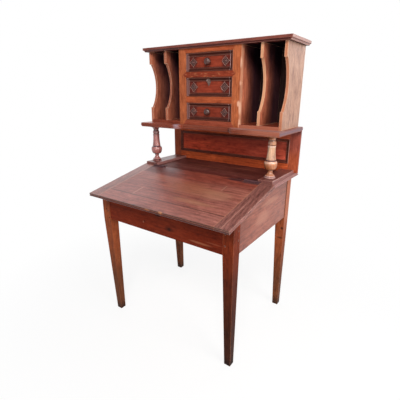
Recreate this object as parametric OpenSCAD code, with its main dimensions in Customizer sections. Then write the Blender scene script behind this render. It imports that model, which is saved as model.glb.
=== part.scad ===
// Slant-front desk: a lift-up writing lid over a well on four raked legs, with a
// shelf on turned columns and a case of pigeonholes and three small drawers above.
// Millimetres. +Z up, +Y to the back. The origin is on the floor, under the middle
// of the desk's width and depth.

/* [Desk] */
// Width of the lid and of the fixed top behind it
top_w = 842; // [760:2:940]
// Depth from the lid's front edge to the back edge of the fixed top
desk_d = 746; // [726:2:800]
// Height of the writing surface at its front edge
writing_h = 750; // [700:2:800]
// Rise of the lid from its front edge to its hinges
lid_rise = 83; // [60:1:100]
// Level depth of the lid, front edge to hinge line
lid_run = 420; // [400:2:436]
// Thickness of the lid and of the fixed top
top_t = 18; // [16:1:22]

/* [Legs and aprons] */
// Side of a leg's square upper part
leg_w = 52; // [46:1:60]
// Side of a leg's square foot
foot_w = 32; // [26:1:44]
// How far the front feet stand behind the tops of their legs
front_rake = 18; // [0:1:30]
// How far the back feet stand behind the tops of their legs
back_rake = 31; // [0:1:36]
// Overhang of the lid past the legs at the front
front_overhang = 66; // [50:1:80]
// Overhang of the fixed top past the legs at the back
back_overhang = 58; // [40:1:70]
// Overhang of the lid past the legs at each side
side_overhang = 16; // [12:1:24]
// Depth of the aprons' lower edges below the writing edge
apron_drop = 152; // [140:1:180]
// Thickness of the aprons
apron_t = 22; // [18:1:26]
// How far the aprons' faces lie behind the legs' faces
apron_recess = 2; // [1:0.5:5]
// Thickness of the well's floor
well_floor_t = 10; // [8:1:14]
// Side of the square bearers under the well's floor
bearer_w = 16; // [12:1:20]
// Diameter of the pegs that lock the apron joints
peg_d = 8; // [6:1:10]

/* [Lid] */
// Width of the cleat at each end of the lid
cleat_w = 72; // [60:1:90]
// Length of the tongue that joins the lid panel to a cleat
tongue_l = 14; // [10:1:20]
// Gap between the closed lid and what it rests on
seat_gap = 0.3; // [0.2:0.1:0.8]
// Gap at the joint between the lid and the fixed top
lid_joint = 1; // [0.8:0.1:1.6]

/* [Hinges and locks] */
// Length of each lid hinge
hinge_l = 88; // [70:2:100]
// Distance from each hinge to the lid's cleat beside it
hinge_margin = 2; // [1:1:30]
// Width of one hinge leaf
leaf_w = 24; // [20:1:28]
// Thickness of a hinge leaf
leaf_t = 2; // [1.5:0.5:3]
// Diameter of the hinge barrel
barrel_d = 9; // [8:0.5:10]
// Diameter of the hinge pin
pin_d = 4; // [3:0.5:5]
// Running clearance around a hinge pin
pin_clear = 0.05; // [0.03:0.01:0.08]
// Height of the lid lock's keyhole above the aprons' lower edges
lid_key_h = 97; // [90:1:99]

/* [Shelf and columns] */
// Thickness of the strips that carry the columns
strip_t = 14; // [10:1:18]
// Distance from the fixed top's right end to the strip that stands there
right_strip_inset = 16; // [14:1:18]
// Distance from the fixed top's left end to the strip that stands there
left_strip_inset = 6; // [4:1:8]
// Distance from the fixed top's ends to the strips' inner edges
strip_reach = 92; // [88:1:100]
// Height of the turned columns
column_h = 210; // [190:1:240]
// Distance from the fixed top's right end to the right column's axis
right_column_inset = 58; // [50:1:60]
// Distance from the fixed top's left end to the left column's axis
left_column_inset = 36; // [36:1:56]
// Distance from the hinge line back to the column axes
column_back = 68; // [50:1:90]
// Thickness of the shelf
shelf_t = 22; // [18:1:26]
// Overhang of the shelf past the back panel at each side
shelf_side = 3; // [0:1:10]
// Overhang of the shelf in front of the hinge line
shelf_overhang = 12; // [6:1:20]
// Depth of the recess in the middle of the shelf's front
recess_d = 40; // [20:1:50]
// Distance from the drawer block to the recess's end at each side
recess_margin = 4; // [2:1:20]
// How far the framed back panel reaches past the fixed top at each side
panel_side = 4; // [-4:1:8]
// Thickness of the back panel's frame
panel_t = 14; // [12:1:18]
// Distance from the fixed top's back edge to the back panel
panel_inset = 20; // [10:1:26]
// Width of the back panel's stiles
panel_stile_w = 55; // [45:1:65]
// Height of the back panel's rails
panel_rail_h = 46; // [36:1:56]
// Thickness of the back panel's board
panel_board_t = 6; // [5:1:8]

/* [Case] */
// Thickness of the case's sides, dividers and drawer walls
side_t = 14; // [12:1:18]
// Overhang of the shelf past the case at each side
case_inset = 21; // [16:1:32]
// Share of the space beside the drawers that lies inside each divider
divider_share = 0.493; // [0.4:0.001:0.6]
// Distance from the shelf's front edge to the front of the drawer frame
frame_back = 64; // [56:1:70]
// Depth of the case, from the drawer frame's face to its back
case_d = 237; // [226:1:254]
// Thickness of the case's back board
case_back_t = 8; // [6:1:12]
// Thickness of the pigeonholes' floors
floor_t = 16; // [12:1:20]
// Height of the sides' straight front edge below the scroll
scroll_foot_h = 84; // [70:1:100]
// Height of the sides' straight front edge above the scroll
scroll_head_h = 64; // [50:1:80]
// Depth of the step above and below the scroll of the sides
scroll_step = 10; // [6:1:14]
// Depth of the scroll behind the step
scroll_sag = 36; // [24:1:44]
// Thickness of the cornice board
cornice_t = 20; // [16:1:26]
// Overhang of the cornice past the case at each side
cornice_side = 25; // [16:1:40]
// Overhang of the cornice in front of the drawer frame
cornice_overhang = 16; // [12:1:24]

/* [Drawer frame] */
// Width of the drawer block, over its stiles
block_w = 372; // [364:2:380]
// Width of the stiles
stile_w = 44; // [40:1:52]
// Thickness of the face frame
face_t = 22; // [20:1:26]
// Height of the bottom rail
bottom_rail_h = 26; // [22:1:36]
// Height of the rail over the bottom drawer
lower_rail_h = 31; // [24:1:40]
// Height of the pointed rail over the middle drawer
upper_rail_h = 27; // [22:1:40]
// Height of the top rail
top_rail_h = 21; // [16:1:30]
// Height of the bottom drawer's opening
bottom_opening_h = 90; // [84:1:100]
// Height of the middle drawer's opening
middle_opening_h = 95; // [86:1:104]
// Height of the top drawer's opening
top_opening_h = 91; // [84:1:104]
// Length of the upper rail's points
rail_point = 19; // [10:1:24]
// Thickness of the boards that the drawers run on
runner_t = 10; // [8:1:12]

/* [Drawers] */
// Gap around a drawer front in its opening
drawer_gap = 1; // [0.6:0.1:1.5]
// Depth of a drawer behind its front board
drawer_box_d = 188; // [170:1:190]
// Thickness of a drawer's front board
front_t = 14; // [12:1:18]
// Thickness of a drawer's sides and back
box_t = 9; // [7:1:11]
// Thickness of a drawer's bottom
box_bottom_t = 5; // [4:1:7]
// Width of the moulding around a drawer front
trim_w = 18; // [12:1:20]
// Height of the moulding above the drawer's panel
trim_h = 9; // [7:1:12]
// Thickness of the carved lozenges
lozenge_t = 6; // [4:1:8]
// Diameter of the turned knobs
knob_d = 37; // [30:1:40]
// How far a knob stands out from the drawer's panel
knob_l = 32; // [26:1:36]

/* [Hidden] */
$fn = 64;

// Colours
walnut = "#7a4630";
dark_walnut = "#3d2119";
lid_wood = "#84594a";
oak = "#b06a35";
red_wood = "#7d3a22";
drawer_wood = "#b08b5c";
iron = "#3a3634";
brass = "#a08a56";

// Widths
panel_w = top_w + 2 * panel_side;
shelf_w = panel_w + 2 * shelf_side;
case_w = shelf_w - 2 * case_inset;
cornice_w = case_w + 2 * cornice_side;
right_column_x = top_w / 2 - right_column_inset;
left_column_x = left_column_inset - top_w / 2;
strip_in_x = top_w / 2 - strip_reach;

// Depth positions
front_y = -desk_d / 2;
back_y = desk_d / 2;
hinge_y = front_y + lid_run;
frame_y = front_y + front_overhang;
frame_back_y = back_y - back_overhang;
panel_back_y = back_y - panel_inset;
panel_y = panel_back_y - panel_t;
shelf_y = hinge_y - shelf_overhang;
face_y = shelf_y + frame_back;
case_back_y = face_y + case_d;
divider_y = face_y + 6;
side_y = face_y + 8;
floor_y = face_y + 2;
cornice_y = face_y - cornice_overhang;

// Heights
apron_z = writing_h - apron_drop;
top_z = writing_h + lid_rise;
strip_z = top_z + strip_t;
shelf_z = strip_z + column_h;
case_z = shelf_z + shelf_t;
bottom_opening_z = case_z + bottom_rail_h;
lower_rail_z = bottom_opening_z + bottom_opening_h;
middle_opening_z = lower_rail_z + lower_rail_h;
upper_rail_z = middle_opening_z + middle_opening_h;
top_opening_z = upper_rail_z + upper_rail_h;
top_rail_z = top_opening_z + top_opening_h;
cornice_z = top_rail_z + top_rail_h;

// The lid's slope
slope = atan(lid_rise / lid_run);
lip_r = 5;
lid_l = lip_r + (lid_run - lip_r + (top_t - lip_r) * sin(slope)) / cos(slope);
lid_drop = top_t / cos(slope);
function lid_under_z(y) = writing_h + (y - front_y) * tan(slope) - lid_drop - seat_gap;
fixed_under_z = top_z - top_t;

// The leg frame
frame_x = top_w / 2 - side_overhang;
leg_x = frame_x - leg_w;
foot_inset = (leg_w - foot_w) / 2;
front_leg_back_y = frame_y + leg_w;
back_leg_y = frame_back_y - leg_w;
apron_x = frame_x - apron_recess;
apron_in_x = apron_x - apron_t;
apron_y = frame_y + apron_recess;
apron_in_y = apron_y + apron_t;
back_apron_y = frame_back_y - apron_recess - apron_t;
tenon_in = 6;
tenon_t = apron_t - 2 * tenon_in;
tenon_l = leg_w * 0.58;
side_tenon_l = leg_w - apron_t - apron_recess - 2;
tenon_low = 20;
tenon_up = 22;
tenon_z = apron_z + tenon_low;
tenon_top_z = lid_under_z(frame_y) - tenon_up;
peg_l = apron_recess + apron_t - 2;
peg_inset = 11;
front_peg_shares = [0.24, 0.76];
side_peg_shares = [0.45, 0.85];
peg_clear = 0.1;

// The well
bearer_z = apron_z + 2;
well_floor_z = bearer_z + bearer_w;
fit_gap = 0.5;

// Moulded edge of the lid and the fixed top, under which its round lip is lip_r
quirk_in = 3.5;
fillet_in = 1.5;
fillet_h = 6;
edge_run = 8;

// Hinges
hinge_x = top_w / 2 - cleat_w - hinge_margin - hinge_l / 2;
barrel_rise = 1;
barrel_gap = 0.7;
knuckle_gap = 0.3;
knuckle_l = (hinge_l - 2 * knuckle_gap) / 3;
barrel_z = top_z + barrel_rise;
leaf_root = barrel_d / 2 + barrel_gap;
screw_head_d = 7;
screw_d = 3.6;
screw_l = 12;
screw_pitch = hinge_l / 3;
screw_y = (leaf_root + leaf_w) / 2;
slot_w = 1;

// The lid lock
lock_w = 60;
lock_h = 56;
lock_t = 20;
lock_y = apron_in_y;
lock_z = lid_under_z(lock_y) - lock_h - 11;
lock_wall = 1.5;
staple_w = 9;
staple_wall = 1;
staple_t = 3;
staple_y = lock_y + 7.5;
staple_l = 25.5;
staple_eye_gap = 1;
strike_w = 44;
strike_d = 14;
strike_t = 2;
lid_bolt = 5;
lid_bolt_l = 22;
lid_bolt_gap = 0.5;
lid_bolt_z = lid_under_z(staple_y) + seat_gap - staple_l + 2 * staple_wall + staple_eye_gap;
lid_bolt_travel = 8;
key_r = 1.9;
key_slot_w = 2.2;
key_slot_h = 8;

// The back panel's board and moulding
panel_board_y = panel_y + 5;
panel_tongue = 6;
panel_trim_w = 17;
panel_trim_h = 8;
panel_in_x = panel_w / 2 - panel_stile_w;

// Moulding beads
outer_bead = 0.3;
inner_bead = 1.5;

// The drawer block
block_x = block_w / 2;
opening_x = block_x - stile_w;
wall_x = block_x - side_t;
mitre_slant = 0.75;
case_in_x = case_w / 2 - side_t;
divider_x = block_x + divider_share * (case_in_x - block_x);

// The drawers
front_x = opening_x - drawer_gap;
panel_face_y = face_y + 2 + trim_h;
front_back_y = panel_face_y + front_t;
lap = 7;
trim_margin = 1;
box_lift = 0.3;
box_clear = 0.7;
box_drop = 7;
bottom_lift = 7;
guide_h = 18;
knob_neck_d = 15;
knob_spigot_d = 12;
plate_w = 24;
plate_h = 36;
plate_t = 2.5;
plate_rise = 2;
plate_gap = 0.3;
drawer_lock_w = 40;
drawer_lock_h = 38;
drawer_lock_t = 10;
drawer_bolt_w = 8;
drawer_bolt_t = 5;
drawer_bolt_l = 16;
drawer_bolt_gap = 0.3;
drawer_bolt_travel = 6;

// A box between two opposite corners
module slab(low, high) {
    translate(low) cube(high - low);
}

// An outline in the Y and Z directions, drawn out along X from x0 to x1
module along_x(x0, x1) {
    translate([x0, 0, 0]) rotate([90, 0, 90]) linear_extrude(x1 - x0) children();
}

// An outline in the X and Z directions, drawn out along Y from y0 to y1
module along_y(y0, y1) {
    translate([0, y1, 0]) rotate([90, 0, 0]) linear_extrude(y1 - y0) children();
}

module both_sides() {
    children();
    mirror([1, 0, 0]) children();
}

// Section of the moulded edge: a round lip, a quirk and a small fillet above it
module edge_section(t) {
    translate([lip_r, lip_r]) circle(r = lip_r);
    translate([quirk_in, lip_r]) square([edge_run - quirk_in, t - lip_r]);
    translate([lip_r, 0]) square([edge_run - lip_r, t]);
    translate([fillet_in, t - fillet_h]) square([edge_run, fillet_h]);
}

// A board's section in its width, with a moulded edge on the sides named
module moulded_section(low, high, t, at_low, at_high) {
    translate([low + (at_low ? edge_run : 0), 0])
        square([high - low - (at_low ? edge_run : 0) - (at_high ? edge_run : 0), t]);
    if (at_low) translate([low, 0]) edge_section(t);
    if (at_high) translate([high, 0]) mirror([1, 0]) edge_section(t);
}

// Legs
module leg_outline(top_low, top_high, foot_low, foot_high, low_top_z, high_top_z) {
    polygon([
        [foot_low, 0], [foot_high, 0], [top_high, apron_z],
        [top_high, high_top_z], [top_low, low_top_z], [top_low, apron_z]
    ]);
}

module leg_blank(y, rake, low_top_z, high_top_z) {
    foot_y = y + foot_inset + rake;
    intersection() {
        along_x(leg_x, frame_x)
            leg_outline(y, y + leg_w, foot_y, foot_y + foot_w, low_top_z, high_top_z);
        along_y(frame_y, frame_back_y + rake)
            leg_outline(leg_x, frame_x, leg_x + foot_inset, frame_x - foot_inset, top_z, top_z);
    }
}

// Tenons of the front or back apron, which point out along X
module cross_tenon(y) {
    slab([leg_x - 1, y + tenon_in, tenon_z], [leg_x + tenon_l, y + tenon_in + tenon_t, tenon_top_z]);
}

// Tenons of a side apron, which point out along Y
module side_tenon(y0, y1) {
    slab([apron_in_x + tenon_in, y0, tenon_z], [apron_in_x + tenon_in + tenon_t, y1, tenon_top_z]);
}

// Pegs of one front or back leg: two across its face and two across its side
module leg_pegs(y_face, y_in, side_peg_y, d) {
    tenon_h = tenon_top_z - tenon_z;
    for (share = front_peg_shares)
        translate([leg_x + peg_inset, y_face, tenon_z + share * tenon_h])
            rotate([-90 * y_in, 0, 0]) cylinder(d = d, h = peg_l);
    for (share = side_peg_shares)
        translate([frame_x - peg_l, side_peg_y, tenon_z + share * tenon_h])
            rotate([0, 90, 0]) cylinder(d = d, h = peg_l);
}

module front_pegs(d) {
    leg_pegs(frame_y, 1, front_leg_back_y - peg_inset, d);
}

module back_pegs(d) {
    leg_pegs(frame_back_y, -1, back_leg_y + peg_inset, d);
}

module front_leg() {
    difference() {
        leg_blank(frame_y, front_rake, lid_under_z(frame_y), lid_under_z(front_leg_back_y));
        cross_tenon(apron_y);
        side_tenon(front_leg_back_y - side_tenon_l, front_leg_back_y + 1);
        front_pegs(peg_d + peg_clear);
    }
}

module back_leg() {
    difference() {
        leg_blank(back_leg_y, back_rake, fixed_under_z, fixed_under_z);
        cross_tenon(back_apron_y);
        side_tenon(back_leg_y - 1, back_leg_y + side_tenon_l);
        back_pegs(peg_d + peg_clear);
    }
}

module front_right_leg() { color(walnut) front_leg(); }
module front_left_leg() { color(walnut) mirror([1, 0, 0]) front_leg(); }
module back_right_leg() { color(walnut) back_leg(); }
module back_left_leg() { color(walnut) mirror([1, 0, 0]) back_leg(); }

module apron_pegs() {
    color(dark_walnut) both_sides() {
        front_pegs(peg_d);
        back_pegs(peg_d);
    }
}

// Aprons
module keyhole(y0, y1, z) {
    along_y(y0, y1) {
        translate([0, z]) circle(r = key_r);
        translate([-key_slot_w / 2, z - key_slot_h]) square([key_slot_w, key_slot_h]);
    }
}

module front_apron() {
    color(red_wood) difference() {
        union() {
            along_x(-leg_x, leg_x) polygon([
                [apron_y, apron_z], [apron_in_y, apron_z],
                [apron_in_y, lid_under_z(apron_in_y)], [apron_y, lid_under_z(apron_y)]
            ]);
            both_sides() cross_tenon(apron_y);
        }
        both_sides() front_pegs(peg_d + peg_clear);
        keyhole(apron_y - 1, apron_in_y + 1, apron_z + lid_key_h);
    }
}

module back_apron() {
    color(red_wood) difference() {
        union() {
            slab([-leg_x, back_apron_y, apron_z], [leg_x, back_apron_y + apron_t, fixed_under_z]);
            both_sides() cross_tenon(back_apron_y);
        }
        both_sides() back_pegs(peg_d + peg_clear);
    }
}

module side_apron() {
    difference() {
        union() {
            along_x(apron_in_x, apron_x) polygon([
                [front_leg_back_y, apron_z], [back_leg_y, apron_z], [back_leg_y, fixed_under_z],
                [hinge_y, fixed_under_z], [hinge_y - lid_joint, lid_under_z(hinge_y - lid_joint)],
                [front_leg_back_y, lid_under_z(front_leg_back_y)]
            ]);
            side_tenon(front_leg_back_y - side_tenon_l, front_leg_back_y + 1);
            side_tenon(back_leg_y - 1, back_leg_y + side_tenon_l);
        }
        front_pegs(peg_d + peg_clear);
        back_pegs(peg_d + peg_clear);
    }
}

module right_apron() { color(walnut) side_apron(); }
module left_apron() { color(walnut) mirror([1, 0, 0]) side_apron(); }

// The well under the lid
module well_floor() {
    low_y = apron_in_y + fit_gap;
    high_y = back_apron_y - fit_gap;
    z = well_floor_z;
    color(drawer_wood) difference() {
        slab([-apron_in_x + fit_gap, low_y, z], [apron_in_x - fit_gap, high_y, z + well_floor_t]);
        both_sides() {
            slab([leg_x - fit_gap, low_y - 1, z - 1],
                 [frame_x, front_leg_back_y + fit_gap, z + well_floor_t + 1]);
            slab([leg_x - fit_gap, back_leg_y - fit_gap, z - 1],
                 [frame_x, high_y + 1, z + well_floor_t + 1]);
        }
    }
}

module well_bearers() {
    color(drawer_wood) {
        both_sides() slab([apron_in_x - bearer_w, front_leg_back_y + 1, bearer_z],
                          [apron_in_x, back_leg_y - 1, bearer_z + bearer_w]);
        for (y = [apron_in_y, back_apron_y - bearer_w])
            slab([-leg_x + 1, y, bearer_z], [leg_x - 1, y + bearer_w, bearer_z + bearer_w]);
    }
}

// Hinges
module on_lid() {
    translate([0, hinge_y, top_z]) rotate([slope, 0, 0]) children();
}

module at_hinges() {
    both_sides() translate([hinge_x, 0, 0]) children();
}

module barrel(x0, x1, d) {
    translate([x0, hinge_y, barrel_z]) rotate([0, 90, 0]) cylinder(d = d, h = x1 - x0);
}

// Where a hinge's barrel and leaf are let into the wood
module barrel_groove() {
    at_hinges() barrel(-hinge_l / 2 - knuckle_gap, hinge_l / 2 + knuckle_gap, 2 * leaf_root);
}

module leaf_plate(x0, x1, y0, y1) {
    slab([x0, y0, -leaf_t], [x1, y1, 0]);
}

module screw_places() {
    for (i = [-1, 0, 1]) translate([i * screw_pitch, 0, 0]) children();
}

module screw_body(d_extra) {
    head_h = (screw_head_d - screw_d) / 2;
    translate([0, 0, -head_h]) cylinder(d1 = screw_d + d_extra, d2 = screw_head_d + d_extra, h = head_h);
    translate([0, 0, -screw_l]) cylinder(d = screw_d + d_extra, h = screw_l);
}

module hinge_screw() {
    difference() {
        screw_body(0);
        translate([-screw_head_d / 2, -slot_w / 2, -slot_w]) cube([screw_head_d, slot_w, slot_w + 1]);
    }
}

// Flat part of a leaf that lies towards -Y of the pin, with its screw holes
module lid_leaf_flat() {
    difference() {
        union() {
            leaf_plate(-hinge_l / 2, hinge_l / 2, -leaf_w, -leaf_root);
            leaf_plate(-knuckle_l / 2, knuckle_l / 2, -leaf_root - 1, -barrel_d / 4);
        }
        screw_places() translate([0, -screw_y, 0]) screw_body(peg_clear);
    }
}

module fixed_leaf_flat() {
    difference() {
        union() {
            leaf_plate(-hinge_l / 2, hinge_l / 2, leaf_root, leaf_w);
            for (s = [-1, 1]) leaf_plate(
                s > 0 ? hinge_l / 2 - knuckle_l : -hinge_l / 2,
                s > 0 ? hinge_l / 2 : knuckle_l - hinge_l / 2,
                barrel_d / 4, leaf_root + 1);
        }
        screw_places() translate([0, screw_y, 0]) screw_body(peg_clear);
    }
}

module lid_hinge_leaves() {
    color(iron) difference() {
        union() {
            on_lid() at_hinges() lid_leaf_flat();
            at_hinges() barrel(-knuckle_l / 2, knuckle_l / 2, barrel_d);
        }
        at_hinges() barrel(-hinge_l, hinge_l, pin_d + 2 * pin_clear);
    }
}

module fixed_hinge_leaves() {
    color(iron) difference() {
        union() {
            translate([0, hinge_y, top_z]) at_hinges() fixed_leaf_flat();
            at_hinges() {
                barrel(-hinge_l / 2, knuckle_l - hinge_l / 2, barrel_d);
                barrel(hinge_l / 2 - knuckle_l, hinge_l / 2, barrel_d);
            }
        }
        at_hinges() barrel(-hinge_l, hinge_l, pin_d + 2 * pin_clear);
    }
}

module hinge_pins() {
    color(iron) at_hinges() barrel(-hinge_l / 2, hinge_l / 2, pin_d);
}

module lid_hinge_screws() {
    color(iron) on_lid() at_hinges() screw_places() translate([0, -screw_y, 0]) hinge_screw();
}

module fixed_hinge_screws() {
    color(iron) translate([0, hinge_y, top_z])
        at_hinges() screw_places() translate([0, screw_y, 0]) hinge_screw();
}

// The lid, in its own plane, with the hinge line at y = 0 and its face at z = 0
module lid_blank() {
    half_w = top_w / 2;
    intersection() {
        on_lid() intersection() {
            along_x(-half_w, half_w) translate([0, -top_t])
                moulded_section(-lid_l, edge_run, top_t, true, false);
            along_y(-lid_l, edge_run) translate([0, -top_t])
                moulded_section(-half_w, half_w, top_t, true, true);
        }
        slab([-half_w, front_y - lid_l, 0], [half_w, hinge_y - lid_joint / 2, 2 * top_z]);
    }
}

// The tongue along an end of the lid panel
module lid_tongue(spare) {
    x = top_w / 2 - cleat_w;
    on_lid() slab([x - 1, 2 * edge_run - lid_l, -top_t * 2 / 3],
                  [x + tongue_l + spare, -2 * edge_run, -top_t / 3]);
}

module lid_panel() {
    x = top_w / 2 - cleat_w;
    color(lid_wood) difference() {
        union() {
            intersection() {
                lid_blank();
                slab([-x, front_y - lid_l, 0], [x, back_y, 2 * top_z]);
            }
            both_sides() lid_tongue(0);
        }
        barrel_groove();
        on_lid() at_hinges() {
            leaf_plate(-hinge_l / 2, hinge_l / 2, -leaf_w, 1);
            screw_places() translate([0, -screw_y, 0]) screw_body(peg_clear);
        }
        strike_pocket();
    }
}

module lid_cleat() {
    difference() {
        lid_blank();
        slab([-top_w, front_y - lid_l, 0], [top_w / 2 - cleat_w, back_y, 2 * top_z]);
        lid_tongue(1);
    }
}

module lid_right_cleat() { color(lid_wood) lid_cleat(); }
module lid_left_cleat() { color(lid_wood) mirror([1, 0, 0]) lid_cleat(); }

module fixed_top() {
    half_w = top_w / 2;
    color(lid_wood) difference() {
        intersection() {
            along_x(-half_w, half_w) translate([0, fixed_under_z])
                moulded_section(hinge_y + lid_joint / 2, back_y, top_t, false, true);
            along_y(hinge_y, back_y) translate([0, fixed_under_z])
                moulded_section(-half_w, half_w, top_t, true, true);
        }
        barrel_groove();
        translate([0, hinge_y, top_z]) at_hinges() {
            leaf_plate(-hinge_l / 2, hinge_l / 2, -1, leaf_w);
            screw_places() translate([0, screw_y, 0]) screw_body(peg_clear);
        }
    }
}

// The lid's lock: a case inside the front apron, a bolt that slides along X through
// the staple, and the strike plate with its staple under the lid
module strike_plate(gap) {
    y = (staple_y + staple_w / 2 - hinge_y - top_t * sin(slope)) / cos(slope);
    on_lid() slab([-strike_w / 2 - gap, y - strike_d / 2 - gap, -top_t - 1],
                  [strike_w / 2 + gap, y + strike_d / 2 + gap, strike_t - top_t + gap]);
}

module strike_pocket() {
    strike_plate(0);
}

module lid_strike() {
    top = lid_under_z(staple_y) + seat_gap;
    color(iron) difference() {
        union() {
            intersection() {
                strike_plate(0);
                lid_blank();
            }
            slab([-staple_t / 2, staple_y, top - staple_l],
                 [staple_t / 2, staple_y + staple_w, top + strike_t]);
        }
        slab([-staple_t, staple_y + staple_wall, lid_bolt_z - staple_eye_gap],
             [staple_t, staple_y + staple_w - staple_wall, lid_bolt_z + lid_bolt + staple_eye_gap]);
    }
}

module lid_bolt_body(extra, reach) {
    y = staple_y + (staple_w - lid_bolt) / 2;
    slab([-lid_bolt_l - staple_t - extra, y - extra, lid_bolt_z - extra],
         [-staple_t + reach, y + lid_bolt + extra, lid_bolt_z + lid_bolt + extra]);
}

module lid_lock_case() {
    color(iron) difference() {
        slab([-lock_w / 2, lock_y, lock_z], [lock_w / 2, lock_y + lock_t, lock_z + lock_h]);
        slab([-staple_t, lock_y + lock_wall, lid_bolt_z - 4],
             [staple_t, staple_y + staple_w + 1, lock_z + lock_h + 1]);
        lid_bolt_body(lid_bolt_gap, lid_bolt_travel + 2);
        keyhole(lock_y - 1, lock_y + lock_t - 3, apron_z + lid_key_h);
    }
}

module lid_lock_bolt() {
    color(iron) lid_bolt_body(0, 0);
}

// The columns, their strips and the shelf
module column_strip(high_x) {
    chamfer = 2;
    low_x = strip_in_x;
    along_y(hinge_y + leaf_root + 1, panel_y) polygon([
        [low_x, top_z], [high_x, top_z], [high_x, strip_z - chamfer],
        [high_x - chamfer, strip_z], [low_x + chamfer, strip_z], [low_x, strip_z - chamfer]
    ]);
}

module column_strips() {
    color(walnut) {
        column_strip(top_w / 2 - right_strip_inset);
        mirror([1, 0, 0]) column_strip(top_w / 2 - left_strip_inset);
    }
}

// Outline of a column from its axis outwards, by stretches from the base up
curve_steps = 12;
steps = [for (i = [0 : curve_steps]) i / curve_steps];
base_r = 28;
base_bead = 3;
step_r = 24.5;
step_bead = 3;
step_z = 10;
foot_z = 13.5;
foot_h = 16;
foot_flare = 9;
neck_r = 11.5;
bowl_foot_r = 16;
bowl_z = 69;
bowl_h = 27;
bowl_r = 32.2;
shoulder_h = 17;
groove_z = 87;
groove_r = 23.5;
shaft_z = 89;
shaft_r = 18.6;
shaft_swell = 5.4;
low_ring_z = column_h - 59;
low_ring_h = 10;
high_ring_z = column_h - 46;
high_ring_h = 15;
ring_lip = 0.8;
ring_groove_r = 16.4;
neck_top_z = column_h - 26;
neck_top_r = 15.2;
flare_r = 18;
cap_r = 30;
cap_h = 7;

// Points on an arc about [x, z] between two angles
function arc(x, z, r, from, to) =
    [for (t = steps) let (a = from + (to - from) * t) [x + r * cos(a), z + r * sin(a)]];

base_bead_points = arc(base_r - base_bead, base_bead, base_bead, -90, 90);
step_points = arc(step_r - step_bead, step_z, step_bead, -80, 90);
foot_points = [for (t = steps) [neck_r + foot_flare * pow(1 - t, 1.7), foot_z + foot_h * t]];
bowl_foot_points = [[neck_r + 1.5, bowl_z - bowl_h - 1]];
bowl_points = [for (t = steps)
    [bowl_foot_r + (bowl_r - bowl_foot_r) * pow(sin(90 * t), 0.8), bowl_z - bowl_h * pow(cos(90 * t), 1.25)]];
shoulder_points = [for (t = steps) if (t > 0)
    [groove_r + 1.5 + (bowl_r - groove_r - 1.5) * cos(90 * t), bowl_z + shoulder_h * sin(90 * t)]];
groove_points = [[groove_r, groove_z]];
shaft_points = [for (t = steps)
    [shaft_r + shaft_swell * pow(1 - t, 2), shaft_z + (low_ring_z - shaft_z) * t]];
ring_points = [
    [shaft_r + ring_lip, low_ring_z + 1], [shaft_r + ring_lip, low_ring_z + low_ring_h - 1],
    [ring_groove_r, low_ring_z + low_ring_h + 1], [ring_groove_r, high_ring_z - 1],
    [shaft_r + ring_lip, high_ring_z + 1], [shaft_r, high_ring_z + high_ring_h - 1],
    [neck_top_r + 1, high_ring_z + high_ring_h + 1]
];
flare_points = arc(neck_top_r + flare_r, neck_top_z, flare_r, 180, 104);
cap_points = [[cap_r, column_h - cap_h], [cap_r, column_h - 1], [cap_r - 1, column_h], [0, column_h]];

module column() {
    rotate_extrude() polygon(concat(
        [[0, 0]], base_bead_points, step_points, foot_points, bowl_foot_points, bowl_points,
        shoulder_points, groove_points, shaft_points, ring_points, flare_points, cap_points
    ));
}

module right_column() { color(oak) translate([right_column_x, hinge_y + column_back, strip_z]) column(); }
module left_column() { color(oak) translate([left_column_x, hinge_y + column_back, strip_z]) column(); }

// The shelf's outline, drawn in by the inset given
module shelf_outline(inset) {
    half_w = shelf_w / 2 - inset;
    front = shelf_y + inset;
    middle = shelf_y + recess_d + inset;
    round_x = block_x + recess_margin;
    recess_x = round_x - recess_d;
    translate([-half_w, middle]) square([2 * half_w, panel_back_y - middle]);
    for (s = [-1, 1]) {
        translate([s > 0 ? round_x : -half_w, front]) square([half_w - round_x, recess_d]);
        intersection() {
            translate([s * round_x, shelf_y + recess_d]) circle(r = recess_d - inset);
            translate([s > 0 ? recess_x - 1 : -round_x - 1, front - 1])
                square([recess_d + 2, recess_d + 2]);
        }
    }
}

module shelf() {
    step = 5;
    color(walnut) {
        translate([0, 0, shelf_z]) linear_extrude(step) shelf_outline(3);
        translate([0, 0, shelf_z + step]) linear_extrude(shelf_t - 2 * step) shelf_outline(0);
        translate([0, 0, case_z - step]) linear_extrude(step) shelf_outline(1.5);
    }
}

// The framed back panel
module back_panel_stiles() {
    color(walnut) both_sides() difference() {
        slab([panel_in_x, panel_y, top_z], [panel_w / 2, panel_back_y, shelf_z]);
        back_panel_blank();
    }
}

module back_panel_blank() {
    slab([-panel_in_x - panel_tongue, panel_board_y, top_z + panel_rail_h - panel_tongue],
         [panel_in_x + panel_tongue, panel_board_y + panel_board_t, shelf_z - panel_rail_h + panel_tongue]);
}

module back_panel_rails() {
    color(walnut) difference() {
        for (z = [top_z, shelf_z - panel_rail_h])
            slab([-panel_in_x, panel_y, z], [panel_in_x, panel_back_y, z + panel_rail_h]);
        back_panel_blank();
    }
}

module back_panel_board() {
    color(red_wood) back_panel_blank();
}

// Section of a framing moulding: an outer bead, a splay and a small inner bead
module trim_section(w, h) {
    b = h * outer_bead;
    s = inner_bead;
    translate([b, h - b]) circle(r = b);
    translate([w - s, s]) circle(r = s);
    polygon([[0, 0], [0, h - b], [b, h], [2 * b, h - b], [w - 2 * s, s], [w - s, s], [w, s], [w, 0]]);
}

// One strip of a mitred frame along X: its outer edge is at z = 0, its back at y = 0
module trim_strip(l, w, h) {
    intersection() {
        translate([-l / 2, 0, 0]) rotate([90, 0, 90]) linear_extrude(l)
            rotate(90) trim_section(w, h);
        along_y(-h - 1, 1) polygon([[-l / 2, 0], [l / 2, 0], [l / 2 - w, w], [w - l / 2, w]]);
    }
}

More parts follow.
